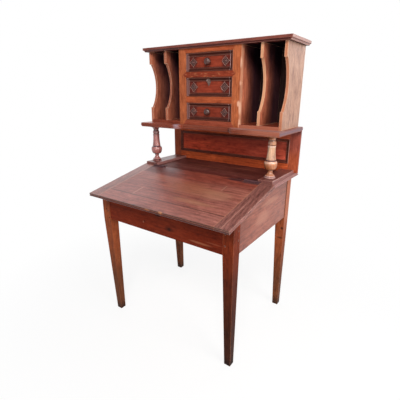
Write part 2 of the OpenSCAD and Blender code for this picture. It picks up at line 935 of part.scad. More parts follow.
// Four mitred strips around a rectangle that is centred on the origin
module trim_frame(wide, high, w, h) {
    for (a = [0, 180]) rotate([0, a, 0]) translate([0, 0, -high / 2]) trim_strip(wide, w, h);
    for (a = [90, 270]) rotate([0, a, 0]) translate([0, 0, -wide / 2]) trim_strip(high, w, h);
}

module back_panel_moulding() {
    color(dark_walnut) translate([0, panel_board_y, (top_z + shelf_z) / 2])
        trim_frame(2 * panel_in_x, shelf_z - top_z - 2 * panel_rail_h, panel_trim_w, panel_trim_h);
}

// The case
module pigeonhole_floors() {
    color(walnut) both_sides()
        slab([block_x, floor_y, case_z], [case_in_x, case_back_y - case_back_t, case_z + floor_t]);
}

// Outline of a side or divider in Y and Z, with its front edge cut to a scroll
module scroll_outline(front, low_z) {
    scroll_low = case_z + scroll_foot_h;
    scroll_high = cornice_z - scroll_head_h;
    half = (scroll_high - scroll_low) / 2;
    r = (half * half + scroll_sag * scroll_sag) / (2 * scroll_sag);
    difference() {
        translate([front, low_z]) square([case_back_y - front, cornice_z - low_z]);
        translate([front - 1, scroll_low]) square([scroll_step + 1, 2 * half]);
        intersection() {
            translate([front + scroll_step + scroll_sag - r, scroll_low + half]) circle(r = r, $fn = 180);
            translate([front, scroll_low]) square([scroll_step + scroll_sag + 1, 2 * half]);
        }
    }
}

module case_side() {
    along_x(case_in_x, case_w / 2) scroll_outline(side_y, case_z);
}

module case_divider() {
    intersection() {
        along_x(divider_x - side_t / 2, divider_x + side_t / 2)
            scroll_outline(divider_y, case_z + floor_t);
        slab([0, 0, 0], [top_w, case_back_y - case_back_t, cornice_z]);
    }
}

module right_side() {
    color(walnut) difference() {
        case_side();
        case_back_blank();
    }
}
module left_side() { color(walnut) mirror([1, 0, 0]) right_side(); }
module right_divider() { color(walnut) case_divider(); }
module left_divider() { color(walnut) mirror([1, 0, 0]) case_divider(); }

module case_back_blank() {
    x = case_in_x + side_t / 2;
    slab([-x, case_back_y - case_back_t, case_z], [x, case_back_y, cornice_z]);
}

module case_back() {
    color(red_wood) case_back_blank();
}

module cornice_section(low, high, at_low, at_high) {
    cove_r = cornice_t * 0.4;
    difference() {
        translate([low, 0]) square([high - low, cornice_t]);
        if (at_low) translate([low, 0]) circle(r = cove_r);
        if (at_high) translate([high, 0]) circle(r = cove_r);
    }
}

module cornice() {
    half_w = cornice_w / 2;
    color(dark_walnut) intersection() {
        along_x(-half_w, half_w) translate([0, cornice_z])
            cornice_section(cornice_y, case_back_y, true, false);
        along_y(cornice_y, case_back_y) translate([0, cornice_z])
            cornice_section(-half_w, half_w, true, true);
    }
}

// The drawer block's face frame
module face_board() {
    along_y(face_y, face_y + face_t) children();
}

module drawer_walls() {
    color(walnut) both_sides()
        slab([wall_x, face_y + face_t, case_z], [block_x, case_back_y - case_back_t, cornice_z]);
}

module face_stiles() {
    bottom_mitre = bottom_rail_h * mitre_slant;
    top_mitre = top_rail_h * mitre_slant;
    color(oak) both_sides() face_board() polygon([
        [opening_x + bottom_mitre, case_z], [block_x, case_z],
        [block_x, cornice_z], [opening_x + top_mitre, cornice_z],
        [opening_x, top_rail_z], [opening_x, top_opening_z],
        [opening_x + rail_point, upper_rail_z + upper_rail_h / 2],
        [opening_x, upper_rail_z], [opening_x, bottom_opening_z]
    ]);
}

module bottom_face_rail() {
    x = opening_x + bottom_rail_h * mitre_slant;
    color(red_wood) face_board() polygon([
        [-x, case_z], [x, case_z], [opening_x, bottom_opening_z], [-opening_x, bottom_opening_z]
    ]);
}

module lower_face_rail() {
    color(oak) face_board()
        translate([-opening_x, lower_rail_z]) square([2 * opening_x, lower_rail_h]);
}

module upper_face_rail() {
    z = upper_rail_z;
    x = opening_x + rail_point;
    color(oak) difference() {
        face_board() polygon([
            [-opening_x, z], [opening_x, z], [x, z + upper_rail_h / 2],
            [opening_x, z + upper_rail_h], [-opening_x, z + upper_rail_h], [-x, z + upper_rail_h / 2]
        ]);
        drawer_bolt(drawer_bolt_gap, drawer_bolt_travel + 1);
    }
}

module top_face_rail() {
    x = opening_x + top_rail_h * mitre_slant;
    color(oak) face_board() polygon([
        [-opening_x, top_rail_z], [opening_x, top_rail_z], [x, cornice_z], [-x, cornice_z]
    ]);
}

// Boards that the drawers run on, and the strips that guide their sides
opening_floors = [bottom_opening_z, middle_opening_z, top_opening_z];
run_back_y = case_back_y - case_back_t - 4;

module drawer_runners() {
    color(drawer_wood) for (z = opening_floors)
        slab([-wall_x, face_y + face_t, z - runner_t], [wall_x, run_back_y, z]);
}

module drawer_guides() {
    color(drawer_wood) for (z = opening_floors) both_sides()
        slab([front_x + box_clear, face_y + face_t, z], [wall_x, run_back_y, z + guide_h]);
}

// Drawers: z is the floor of the opening and h its height
module drawer_front(z, h) {
    slab([-front_x, panel_face_y, z + drawer_gap], [front_x, front_back_y, z + h - drawer_gap]);
}

module drawer_box(z, h) {
    low = z + box_lift;
    high = z + h - box_drop;
    back = front_back_y + drawer_box_d;
    both_sides() slab([front_x - box_t, front_back_y - lap, low], [front_x, back, high]);
    slab([box_t - front_x, back - box_t, low + bottom_lift + box_bottom_t],
         [front_x - box_t, back, high - 4]);
    slab([box_t - front_x, front_back_y, low + bottom_lift],
         [front_x - box_t, back, low + bottom_lift + box_bottom_t]);
}

// Front board with its ends lapped for the box's sides
module lapped_front(z, h) {
    difference() {
        drawer_front(z, h);
        both_sides() slab([front_x - box_t, front_back_y - lap, z - 1],
                          [front_x + 1, front_back_y + 1, z + h - box_drop]);
    }
}

// A square plaque on its corner: a raised border, a sunk ground and a raised heart
module lozenge(half) {
    side = half * sqrt(2);
    border = side * 0.12;
    ground_t = lozenge_t * 0.4;
    rotate([90, 45, 0]) {
        difference() {
            translate([0, 0, lozenge_t / 2]) cube([side, side, lozenge_t], center = true);
            translate([0, 0, lozenge_t / 2 + ground_t])
                cube([side - 2 * border, side - 2 * border, lozenge_t], center = true);
        }
        translate([0, 0, lozenge_t / 2]) cube([side * 0.5, side * 0.5, lozenge_t * 0.9], center = true);
    }
}

module drawer_trim(z, h) {
    high = h - 2 * (drawer_gap + trim_margin);
    in_x = front_x - trim_margin - trim_w;
    half = high / 2 - trim_w - 0.5;
    translate([0, panel_face_y, z + h / 2]) {
        trim_frame(2 * (front_x - trim_margin), high, trim_w, trim_h);
        for (s = [-1, 1]) translate([s * (in_x - half - 0.5), 0, 0]) lozenge(half);
    }
}

module place_knob(z, h) {
    translate([0, panel_face_y, z + h / 2]) rotate([90, 0, 0]) children();
}

module knob() {
    r = knob_d / 2;
    head_z = knob_l - r * 0.62;
    stem_r = knob_neck_d / 2;
    rotate_extrude() {
        translate([0, -front_t + 3]) square([knob_spigot_d / 2, front_t]);
        square([stem_r + 2, 2.5]);
        square([stem_r, head_z]);
        intersection() {
            translate([0, head_z - r * 0.38]) circle(r = r);
            translate([0, head_z - r * 0.3]) square([r, 2 * r]);
        }
    }
}

module knob_hole() {
    translate([0, 0, 3 - front_t]) cylinder(d = knob_spigot_d + peg_clear, h = front_t);
}

module knobbed_front(z, h) {
    difference() {
        lapped_front(z, h);
        place_knob(z, h) knob_hole();
    }
}

module top_drawer_front() { color(red_wood) knobbed_front(top_opening_z, top_opening_h); }
module top_drawer_box() { color(drawer_wood) drawer_box(top_opening_z, top_opening_h); }
module top_drawer_trim() { color(dark_walnut) drawer_trim(top_opening_z, top_opening_h); }
module top_drawer_knob() { color(dark_walnut) place_knob(top_opening_z, top_opening_h) knob(); }

module bottom_drawer_front() { color(red_wood) knobbed_front(bottom_opening_z, bottom_opening_h); }
module bottom_drawer_box() { color(drawer_wood) drawer_box(bottom_opening_z, bottom_opening_h); }
module bottom_drawer_trim() { color(dark_walnut) drawer_trim(bottom_opening_z, bottom_opening_h); }
module bottom_drawer_knob() {
    color(dark_walnut) place_knob(bottom_opening_z, bottom_opening_h) knob();
}

// The middle drawer has a lock, and a keyhole plate in place of a knob
middle_front_z = middle_opening_z + middle_opening_h - drawer_gap;
trim_in_z = middle_front_z - trim_margin - trim_w;
plate_top_z = trim_in_z + trim_w * 2 / 3;
plate_z = plate_top_z - plate_w / 2;
drawer_key_z = plate_z - 5;
drawer_lock_y = panel_face_y + 3;
drawer_bolt_y = drawer_lock_y + 1;

module drawer_lock_blank(back) {
    slab([-drawer_lock_w / 2, drawer_lock_y, middle_front_z - drawer_lock_h],
         [drawer_lock_w / 2, back, middle_front_z]);
}

module drawer_bolt(extra, reach) {
    slab([-drawer_bolt_w / 2 - extra, drawer_bolt_y - extra, middle_front_z - drawer_bolt_l - extra],
         [drawer_bolt_w / 2 + extra, drawer_bolt_y + drawer_bolt_t + extra, middle_front_z + reach]);
}

module middle_drawer_front() {
    color(red_wood) difference() {
        lapped_front(middle_opening_z, middle_opening_h);
        drawer_lock_blank(front_back_y + 1);
        keyhole(panel_face_y - 1, front_back_y, drawer_key_z);
    }
}
module middle_drawer_box() { color(drawer_wood) drawer_box(middle_opening_z, middle_opening_h); }
module middle_drawer_trim() {
    color(dark_walnut) difference() {
        drawer_trim(middle_opening_z, middle_opening_h);
        along_y(panel_face_y - 2 * trim_h, panel_face_y + 1) plate_outline(plate_gap);
    }
}

// Outline of the keyhole plate, a round-topped shield, grown by the gap given
module plate_outline(gap) {
    cheek = plate_w / 2 + gap;
    translate([0, plate_z]) circle(r = cheek);
    polygon([[-cheek, plate_z], [0, plate_top_z - plate_h - gap], [cheek, plate_z]]);
}

// The plate lies flat on the drawer's panel and steps up over the moulding
module keyhole_plate() {
    color(brass) difference() {
        union() {
            along_y(panel_face_y - plate_t, panel_face_y) plate_outline(0);
            along_y(panel_face_y - trim_h - plate_rise, panel_face_y) intersection() {
                plate_outline(0);
                translate([-plate_w, trim_in_z]) square(2 * plate_w);
            }
        }
        keyhole(panel_face_y - plate_t - 1, panel_face_y + 1, drawer_key_z);
    }
}

module drawer_lock_case() {
    color(brass) difference() {
        drawer_lock_blank(drawer_lock_y + drawer_lock_t);
        drawer_bolt(drawer_bolt_gap, 1);
        keyhole(drawer_lock_y - 1, drawer_lock_y + drawer_lock_t - 2, drawer_key_z);
    }
}

module drawer_lock_bolt() {
    color(brass) drawer_bolt(0, -0.5);
}

front_left_leg();
front_right_leg();
back_left_leg();
back_right_leg();
front_apron();
back_apron();
left_apron();
right_apron();
apron_pegs();
well_floor();
well_bearers();
fixed_top();
lid_panel();
lid_left_cleat();
lid_right_cleat();
lid_hinge_leaves();
lid_hinge_screws();
lid_strike();
fixed_hinge_leaves();
fixed_hinge_screws();
hinge_pins();
lid_lock_case();
lid_lock_bolt();
column_strips();
left_column();
right_column();
back_panel_stiles();
back_panel_rails();
back_panel_board();
back_panel_moulding();
shelf();
pigeonhole_floors();
left_side();
right_side();
left_divider();
right_divider();
drawer_walls();
face_stiles();
bottom_face_rail();
lower_face_rail();
upper_face_rail();
top_face_rail();
drawer_runners();
drawer_guides();
case_back();
cornice();
top_drawer_front();
top_drawer_box();
top_drawer_trim();
top_drawer_knob();
middle_drawer_front();
middle_drawer_box();
middle_drawer_trim();
keyhole_plate();
drawer_lock_case();
drawer_lock_bolt();
bottom_drawer_front();
bottom_drawer_box();
bottom_drawer_trim();
bottom_drawer_knob();
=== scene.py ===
"""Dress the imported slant-front desk with woods, metals, turned and carved pieces, and light it."""

import logging
import math
from collections.abc import Callable, Iterable, Sequence
from dataclasses import dataclass, field, replace
from enum import Enum
from typing import ClassVar

import bpy
from mathutils import Matrix, Vector


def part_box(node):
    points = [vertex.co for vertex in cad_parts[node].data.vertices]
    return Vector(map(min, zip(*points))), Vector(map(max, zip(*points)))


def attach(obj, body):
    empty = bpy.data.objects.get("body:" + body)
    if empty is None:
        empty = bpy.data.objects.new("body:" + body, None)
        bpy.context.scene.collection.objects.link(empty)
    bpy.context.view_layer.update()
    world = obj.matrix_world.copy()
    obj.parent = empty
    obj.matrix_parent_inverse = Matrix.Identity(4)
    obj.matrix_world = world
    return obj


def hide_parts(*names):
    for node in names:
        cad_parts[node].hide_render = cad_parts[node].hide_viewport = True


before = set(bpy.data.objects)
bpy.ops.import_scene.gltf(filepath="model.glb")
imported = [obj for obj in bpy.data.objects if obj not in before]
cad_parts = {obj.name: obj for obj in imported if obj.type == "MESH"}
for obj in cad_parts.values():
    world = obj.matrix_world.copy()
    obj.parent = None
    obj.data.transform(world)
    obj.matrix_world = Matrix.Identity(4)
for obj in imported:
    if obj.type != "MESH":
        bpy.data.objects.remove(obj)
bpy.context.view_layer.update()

log = logging.getLogger("desk")
MM = 0.001

Colour = tuple[float, float, float]
Point = tuple[float, float, float]
Profile = Sequence[tuple[float, float]]

ORIGIN = (0.0, 0.0, 0.0)


class Grain(Enum):
    """The direction in which a board's fibres run, and the two directions across them."""

    WIDTH = ("X", "Y", "Z")
    DEPTH = ("Y", "X", "Z")
    HEIGHT = ("Z", "X", "Y")


class Axis(Enum):
    """The directions along which marks are measured; OUT runs both ways from the desk's middle."""

    X = "X"
    Y = "Y"
    Z = "Z"
    OUT = "OUT"


class Value:
    """A socket that carries one number and takes part in arithmetic."""

    def __init__(self, graph: "Graph", socket: bpy.types.NodeSocket) -> None:
        """Wrap an output socket of the graph."""
        self.graph = graph
        self.socket = socket

    def __add__(self, other: "Value | float") -> "Value":
        """Sum."""
        return self.graph.math("ADD", self, other)

    def __radd__(self, other: "Value | float") -> "Value":
        """Sum, with the number first."""
        return self.graph.math("ADD", other, self)

    def __sub__(self, other: "Value | float") -> "Value":
        """Difference."""
        return self.graph.math("SUBTRACT", self, other)

    def __rsub__(self, other: "Value | float") -> "Value":
        """Difference, with the number first."""
        return self.graph.math("SUBTRACT", other, self)

    def __mul__(self, other: "Value | float") -> "Value":
        """Product."""
        return self.graph.math("MULTIPLY", self, other)

    def __truediv__(self, other: "Value | float") -> "Value":
        """Quotient."""
        return self.graph.math("DIVIDE", self, other)

    def __pow__(self, other: "Value | float") -> "Value":
        """Power."""
        return self.graph.math("POWER", self, other)

    def ramp(self, low: float, high: float) -> "Value":
        """Rise smoothly from 0 at low to 1 at high, or fall if low is the larger.

        Args:
            low: the value that gives 0.
            high: the value that gives 1.

        Returns:
            The smooth step.
        """
        settings = {"interpolation_type": "SMOOTHSTEP"}
        if low < high:
            return Value(self.graph, self.graph.node("ShaderNodeMapRange", settings, {
                "Value": self, "From Min": low, "From Max": high}).outputs[0])
        return 1 - self.ramp(high, low)

    def size(self) -> "Value":
        """The value without its sign."""
        return self.graph.math("ABSOLUTE", self)

    def clipped(self) -> "Value":
        """The value held between 0 and 1."""
        return Value(self.graph, self.graph.node("ShaderNodeClamp", {}, {0: self}).outputs[0])


class Graph:
    """A node tree that is written as expressions."""

    def __init__(self, tree: bpy.types.NodeTree) -> None:
        """Empty the tree and start in it."""
        self.tree = tree
        tree.nodes.clear()

    def node(self, kind: str, settings: dict, inputs: dict) -> bpy.types.Node:
        """Add one node.

        Args:
            kind: the node's type.
            settings: its properties by name.
            inputs: values or links by socket name or number.

        Returns:
            The new node.
        """
        made = self.tree.nodes.new(kind)
        for name, value in settings.items():
            setattr(made, name, value)
        for name, value in inputs.items():
            self._feed(made.inputs[name], value)
        return made

    def _feed(self, socket: bpy.types.NodeSocket, value: object) -> None:
        """Set a socket's value, or link it to where the value comes from."""
        if isinstance(value, Value):
            self.tree.links.new(value.socket, socket)
        elif isinstance(value, bpy.types.NodeSocket):
            self.tree.links.new(value, socket)
        elif socket.type == "RGBA":
            socket.default_value = (*value, 1.0)
        else:
            socket.default_value = value

    def math(self, operation: str, first: "Value | float", second: "Value | float" = 0.0) -> Value:
        """One Math node, by its operation and its operands."""
        return Value(self, self.node("ShaderNodeMath", {"operation": operation},
                                     {0: first, 1: second}).outputs[0])

    def vector(self, operation: str, first: object, second: object) -> bpy.types.NodeSocket:
        """One Vector Math node that gives a vector."""
        return self.node("ShaderNodeVectorMath", {"operation": operation}, {0: first, 1: second}).outputs[0]

    def distance(self, first: object, second: object) -> Value:
        """The distance between two points."""
        return Value(self, self.node("ShaderNodeVectorMath", {"operation": "DISTANCE"},
                                     {0: first, 1: second}).outputs["Value"])

    def mix(self, factor: "Value | float", first: object, second: object,
            blend: str = "MIX") -> bpy.types.NodeSocket:
        """Mix two colours or links, where a factor of 0 gives the first and 1 the second."""
        return self.node("ShaderNodeMix", {"data_type": "RGBA", "blend_type": blend},
                         {0: factor, 6: first, 7: second}).outputs[2]

    def noise(self, place: object, detail: float = 3.0, roughness: float = 0.5,
              distortion: float = 0.0) -> Value:
        """Noise about 0.5 at a place that is already scaled."""
        return Value(self, self.node("ShaderNodeTexNoise", {}, {
            "Vector": place, "Scale": 1.0, "Detail": detail, "Roughness": roughness,
            "Distortion": distortion}).outputs[0])

    def place(self) -> bpy.types.NodeSocket:
        """The point on the piece, in metres."""
        return self.node("ShaderNodeTexCoord", {}, {}).outputs["Object"]

    def shape(self, name: str) -> bpy.types.NodeSocket:
        """One output of the Geometry node."""
        return self.node("ShaderNodeNewGeometry", {}, {}).outputs[name]

    def dot(self, first: object, second: object) -> Value:
        """How far two unit vectors agree."""
        return Value(self, self.node("ShaderNodeVectorMath", {"operation": "DOT_PRODUCT"},
                                     {0: first, 1: second}).outputs["Value"])

    def parts(self, vector: bpy.types.NodeSocket) -> dict[str, Value]:
        """The three parts of a vector by the names X, Y and Z."""
        split = self.node("ShaderNodeSeparateXYZ", {}, {0: vector})
        return {name: Value(self, split.outputs[name]) for name in "XYZ"}

    def joined(self, x: object, y: object, z: object) -> bpy.types.NodeSocket:
        """A vector from three numbers."""
        return self.node("ShaderNodeCombineXYZ", {}, {0: x, 1: y, 2: z}).outputs[0]


def shaded(name: str, build: Callable[[Graph], None]) -> bpy.types.Material:
    """Find a material, or make it and write its shader.

    Args:
        name: the material's name.
        build: writes the shader into a graph.

    Returns:
        The material.
    """
    made = bpy.data.materials.get(name)
    if made is None:
        made = bpy.data.materials.new(name)
        made.use_nodes = True
        build(Graph(made.node_tree))
    return made


@dataclass(frozen=True)
class Gloss:
    """How a surface shines."""

    rough: float = 0.4
    rough_spread: float = 0.12
    level: float = 0.4


@dataclass(frozen=True)
class Place:
    """A point on a piece, as a vector, by its parts, and with a number that wavers from place to place."""

    vector: bpy.types.NodeSocket
    parts: dict[str, Value]
    waver: Value


@dataclass(frozen=True)
class Slope:
    """A smooth rise from 0 at one place to 1 at another along a direction."""

    axis: Axis
    start: float
    end: float

    def value(self, place: Place) -> Value:
        """How far the slope has risen at a place."""
        return place.parts[self.axis.value].ramp(self.start, self.end)


def limited(cover: Value, slopes: Iterable[Slope], place: Place) -> Value:
    """A cover that ends where its slopes do."""
    for slope in slopes:
        cover = cover * slope.value(place)
    return cover


@dataclass(frozen=True)
class Mark:
    """Something that gives a part of a board another colour."""

    blend: ClassVar[str] = "MIX"
    colour: Colour
    strength: float

    def cover(self, graph: Graph, place: Place) -> Value:
        """How far the mark covers a place, from 0 to 1."""
        raise NotImplementedError


@dataclass(frozen=True)
class Spot(Mark):
    """A knot, a worn place, a stain, a painted highlight or a painted shadow: a soft ellipsoid with a ragged
    outline.
    """

    ragged: ClassVar[float] = 0.9
    core: ClassVar[float] = 0.35
    centre: Point
    size: Point

    def cover(self, graph: Graph, place: Place) -> Value:
        """1 at the spot's middle, and 0 outside it."""
        near = graph.vector("DIVIDE", graph.vector("SUBTRACT", place.vector, self.centre), self.size)
        return (graph.distance(near, ORIGIN) + (place.waver - 0.5) * self.ragged).ramp(1.0, self.core)


@dataclass(frozen=True)
class Shade(Mark):
    """A colour that comes in along one direction or several at once: wear, a raw back, darker feet, painted
    shade or painted sheen.
    """

    even: ClassVar[float] = 0.75
    uneven: ClassVar[float] = 0.5
    slopes: tuple[Slope, ...]

    def cover(self, graph: Graph, place: Place) -> Value:
        """The product of the slopes, broken up a little."""
        return limited(place.waver * self.uneven + self.even, self.slopes, place).clipped()


@dataclass(frozen=True)
class Tint(Shade):
    """A shade that multiplies the wood's colour, so that the grain still shows."""

    blend: ClassVar[str] = "MULTIPLY"


@dataclass(frozen=True)
class Face(Shade):
    """A shade that covers only the sides of a board that look one way."""

    turned_from: ClassVar[float] = 0.4
    turned_to: ClassVar[float] = 0.8
    direction: Point = (0.0, -1.0, 0.0)

    def cover(self, graph: Graph, place: Place) -> Value:
        """The shade's cover where the surface looks along the direction."""
        looks = graph.dot(graph.shape("Normal"), self.direction).ramp(self.turned_from, self.turned_to)
        return super().cover(graph, place) * looks


@dataclass(frozen=True)
class Line(Mark):
    """A joint, a crack, a scratch, painted shade in a groove or a painted highlight: a thin line across one
    direction, as long as its slopes let it be.
    """

    core: ClassVar[float] = 0.25
    axis: Axis
    at: float
    width: float
    slopes: tuple[Slope, ...] = ()

    def cover(self, graph: Graph, place: Place) -> Value:
        """1 on the line and 0 beside it."""
        away = (place.parts[self.axis.value] - self.at).size()
        return limited(away.ramp(self.width, self.width * self.core), self.slopes, place)


@dataclass(frozen=True)
class Joint:
    """A glued joint in a top, beyond which the grain runs on differently and the tone changes."""

    soft: ClassVar[float] = 0.3 * MM
    drift: ClassVar[float] = 0.1
    axis: Axis
    at: float
    shift: float
    tone: Colour

    def beyond(self, place: dict[str, Value]) -> Value:
        """0 before the joint and 1 beyond it."""
        return place[self.axis.value].ramp(self.at - self.soft, self.at + self.soft)


@dataclass(frozen=True)
class Fibres:
    """A board's own directions at a place: along its fibres, and the two across them."""

    graph: Graph
    along: Value
    across: Value
    through: Value


@dataclass(frozen=True)
class Figure:
    """A noise drawn out along the fibres, by how many of its spots a metre holds along and across."""

    along: float
    across: float
    detail: float = 3.0
    roughness: float = 0.5
    distortion: float = 0.0

    def over(self, fibres: Fibres) -> Value:
        """The noise on a board."""
        place = fibres.graph.joined(
            fibres.along * self.along, fibres.across * self.across, fibres.through * self.across)
        return fibres.graph.noise(place, self.detail, self.roughness, self.distortion)


# The figure of the woods, layer by layer; the last is for silky oak alone
DRIFT = Figure(1.6, 7, 2)
WAVER = Figure(6, 34)
FIBRE = Figure(9, 420, 3, 0.6)
PORE = Figure(38, 1500, 1)
PATCH = Figure(2.2, 5.5, 4, 0.55, 0.4)
BLOT = Figure(18, 42, 5, 0.68, 0.3)
SPECK = Figure(150, 210, 1)
SILK = Figure(46, 130, 2, 0.4, 0.8)
SILK_SLANT = 60 / 46

# The values of a noise between which each layer sets in
PORE_HOLES = (0.56, 0.68)
SPECK_DOTS = (0.66, 0.74)
SILK_FLECKS = (0.56, 0.66)
FINE_FIBRES = (0.5, 0.75)
PATCH_AREAS = (0.42, 0.72)
STAINED_AREAS = (0.5, 0.7)
POLISHED_AREAS = (0.5, 0.3)
BROKEN_UP = (0.35, 0.65)

# How the shape shows where edges are worn and where hollows are darkened: a rounded normal's agreement with
# the true one, and pointiness
ROUNDED_EDGE = (0.99, 0.86)
WORN_CREST = (0.52, 0.6)
DARKENED_HOLLOW = (0.485, 0.4)

# How far chance moves the grain from piece to piece
CHANCE = (1.9, 3.1, 2.3)

# Where the heart of the tree lies beside a board, across and through it
HEART = (-0.11, 0.19)
RING_WAVER = 5 * MM
RING_SHARPNESS = 1.8
RING_END = 0.86

# How much the fibres add to the late wood, and how much of the sum stays early wood
LATE_FIBRE = 1.1
EARLY_WOOD = 0.3

# How much the patches and the slow figure each break up the wear of the edges
WEAR_BREAK = 0.6

# How high each layer stands in the relief, and how deep the pores lie in it
FIBRE_H = 0.5
RING_H = 0.4
PORE_DEPTH = 0.5
WAVER_H = 0.4
BLOT_H = 0.5

# Factors of a wood's colour
PALE_FIBRE = (1.0, 1.04, 1.04)
LATE_WOOD = (0.85, 0.82, 0.84)
DARK_FIBRE = (0.8, 0.74, 0.8)
HOLLOW_DARK = (0.2, 0.16, 0.2)
STAINED = (0.5, 0.42, 0.44)
POLISHED = (1.4, 1.55, 1.55)


@dataclass(frozen=True)
class Layers:
    """The figure of one board, layer by layer."""

    waver: Value
    ring: Value
    fibre: Value
    pore: Value
    patch: Value
    blot: Value
    speck: Value

    def relief(self) -> Value:
        """The height of the grain, from the layers that stand in it."""
        return (self.fibre * FIBRE_H + self.ring * RING_H - self.pore * PORE_DEPTH
                + self.waver * WAVER_H + self.blot * BLOT_H)


@dataclass(frozen=True)
class Wood:
    """A wood's colour, growth rings, fibres, patches, marks and shine."""

    name: str
    slot: str
    colour: Colour
    streak: float = 0.45
    patch: Colour = (0.7, 0.62, 0.62)
    patch_amount: float = 0.4
    ring: float = 9 * MM
    ring_depth: float = 0.5
    wander: float = 0.03
    fibre_depth: float = 0.5
    pore_depth: float = 0.35
    fleck: float = 0.0
    worn: Colour = (0.35, 0.14, 0.07)
    worn_amount: float = 0.35
    edge: float = 3 * MM
    turned: bool = False
    mottle: float = 0.75
    speck: float = 0.55
    bump: float = 0.25
    bump_height: float = 0.6 * MM
    hollow_darkening: float = 0.85
    gloss: Gloss = Gloss()
    marks: tuple[Mark, ...] = ()
    joints: tuple[Joint, ...] = ()

    def material(self, grain: Grain) -> bpy.types.Material:
        """This wood's material for one direction of the fibres."""
        return shaded(f"{self.name}_{grain.name.lower()}", lambda graph: self._build(graph, grain))

    def tone(self, factors: Colour, lift: float = 1.0) -> Colour:
        """The wood's colour times a factor for each of red, green and blue, and one for all."""
        return tuple(max(0.0, part * factor * lift) for part, factor in zip(self.colour, factors))

    def _build(self, graph: Graph, grain: Grain) -> None:
        """Write the shader.

        Args:
            graph: the empty shader.
            grain: the direction of the fibres.
        """
        point = graph.place()
        parts = graph.parts(point)
        parts[Axis.OUT.value] = parts["X"].size()
        sides = [(joint.beyond(parts), joint) for joint in self.joints]
        fibres = self._fibres(graph, grain, point, sides)
        layers = self._layers(fibres)
        colour = self._grown(graph, layers)
        for beyond, joint in sides:
            colour = graph.mix(beyond, colour, joint.tone, "MULTIPLY")
        if self.fleck:
            slanted = replace(fibres, along=fibres.along + fibres.across * SILK_SLANT)
            colour = graph.mix(SILK.over(slanted).ramp(*SILK_FLECKS) * self.fleck, colour, self.worn)
        place = Place(point, parts, layers.waver)
        for mark in self.marks:
            colour = graph.mix(mark.cover(graph, place) * mark.strength, colour, mark.colour, mark.blend)
        self._finish(graph, layers, self._rubbed(graph, layers, colour))

    def _fibres(self, graph: Graph, grain: Grain, point: bpy.types.NodeSocket,
                sides: Sequence[tuple[Value, Joint]]) -> Fibres:
        """The board's directions, moved by chance from piece to piece and at each joint.

        Args:
            graph: the shader.
            grain: the direction of the fibres.
            point: the point on the piece.
            sides: the joints, each with the value that is 1 beyond it.

        Returns:
            The directions.
        """
        luck = Value(graph, graph.node("ShaderNodeObjectInfo", {}, {}).outputs["Random"])
        moved = graph.parts(graph.vector("ADD", point, graph.joined(*(luck * reach for reach in CHANCE))))
        along, across, through = (moved[axis] for axis in grain.value)
        for beyond, joint in sides:
            along = along + beyond * joint.shift
            through = through + beyond * (joint.shift * joint.drift)
        return Fibres(graph, along, across, through)

    def _layers(self, fibres: Fibres) -> Layers:
        """Growth rings about the heart of the tree, fibres, pores, patches, blots and specks.

        Args:
            fibres: the board's directions.

        Returns:
            The layers.
        """
        graph = fibres.graph
        slow = DRIFT.over(fibres)
        waver = WAVER.over(fibres)
        reach = graph.math("SQRT", (fibres.across - HEART[0]) ** 2 + (fibres.through - HEART[1]) ** 2)
        wavy = reach + (slow - 0.5) * self.wander + (waver - 0.5) * RING_WAVER
        turn = graph.math("FRACT", wavy / self.ring)
        return Layers(
            waver=waver, ring=turn ** RING_SHARPNESS * turn.ramp(1.0, RING_END), fibre=FIBRE.over(fibres),
            pore=PORE.over(fibres).ramp(*PORE_HOLES), patch=PATCH.over(fibres), blot=BLOT.over(fibres),
            speck=SPECK.over(fibres).ramp(*SPECK_DOTS))

    def _grown(self, graph: Graph, layers: Layers) -> bpy.types.NodeSocket:
        """The colour of the wood before joints and marks.

        Args:
            graph: the shader.
            layers: the board's figure.

        Returns:
            The colour.
        """
        pale = self.tone(PALE_FIBRE, 1 + self.streak)
        dark = self.tone(DARK_FIBRE, 1 - self.streak)
        late = (layers.ring * self.ring_depth + layers.fibre * LATE_FIBRE - EARLY_WOOD).clipped()
        fine = (layers.fibre.ramp(*FINE_FIBRES) * self.fibre_depth + layers.pore * self.pore_depth).clipped()
        colour = graph.mix(late, pale, self.tone(LATE_WOOD))
        colour = graph.mix(fine, colour, dark)
        patched = layers.patch.ramp(*PATCH_AREAS) * self.patch_amount
        stained = layers.blot.ramp(*STAINED_AREAS) * self.mottle
        polished = layers.blot.ramp(*POLISHED_AREAS) * self.mottle
        for cover, factors in ((patched, self.patch), (stained, STAINED), (polished, POLISHED)):
            colour = graph.mix(cover, colour, factors, "MULTIPLY")
        return graph.mix(layers.speck * self.speck, colour, dark)

    def _rubbed(self, graph: Graph, layers: Layers, colour: bpy.types.NodeSocket) -> bpy.types.NodeSocket:
        """The colour with worn edges, and darker in the hollows of what is turned or carved.

        Args:
            graph: the shader.
            layers: the board's figure.
            colour: the colour so far.

        Returns:
            The final colour.
        """
        broken = (layers.patch * WEAR_BREAK + layers.waver * WEAR_BREAK).ramp(*BROKEN_UP)
        colour = graph.mix((self._edges(graph) * broken * self.worn_amount).clipped(), colour, self.worn)
        if self.turned:
            hollow = Value(graph, graph.shape("Pointiness")).ramp(*DARKENED_HOLLOW)
            colour = graph.mix(hollow * self.hollow_darkening, colour, self.tone(HOLLOW_DARK))
        return colour

    def _edges(self, graph: Graph) -> Value:
        """Find the edges that hands and cloths wear.

        Args:
            graph: the shader.

        Returns:
            1 on the edges and 0 on the flats.
        """
        if self.turned:
            return Value(graph, graph.shape("Pointiness")).ramp(*WORN_CREST)
        soft = graph.node("ShaderNodeBevel", {"samples": 4}, {"Radius": self.edge})
        return graph.dot(soft.outputs[0], graph.shape("Normal")).ramp(*ROUNDED_EDGE)

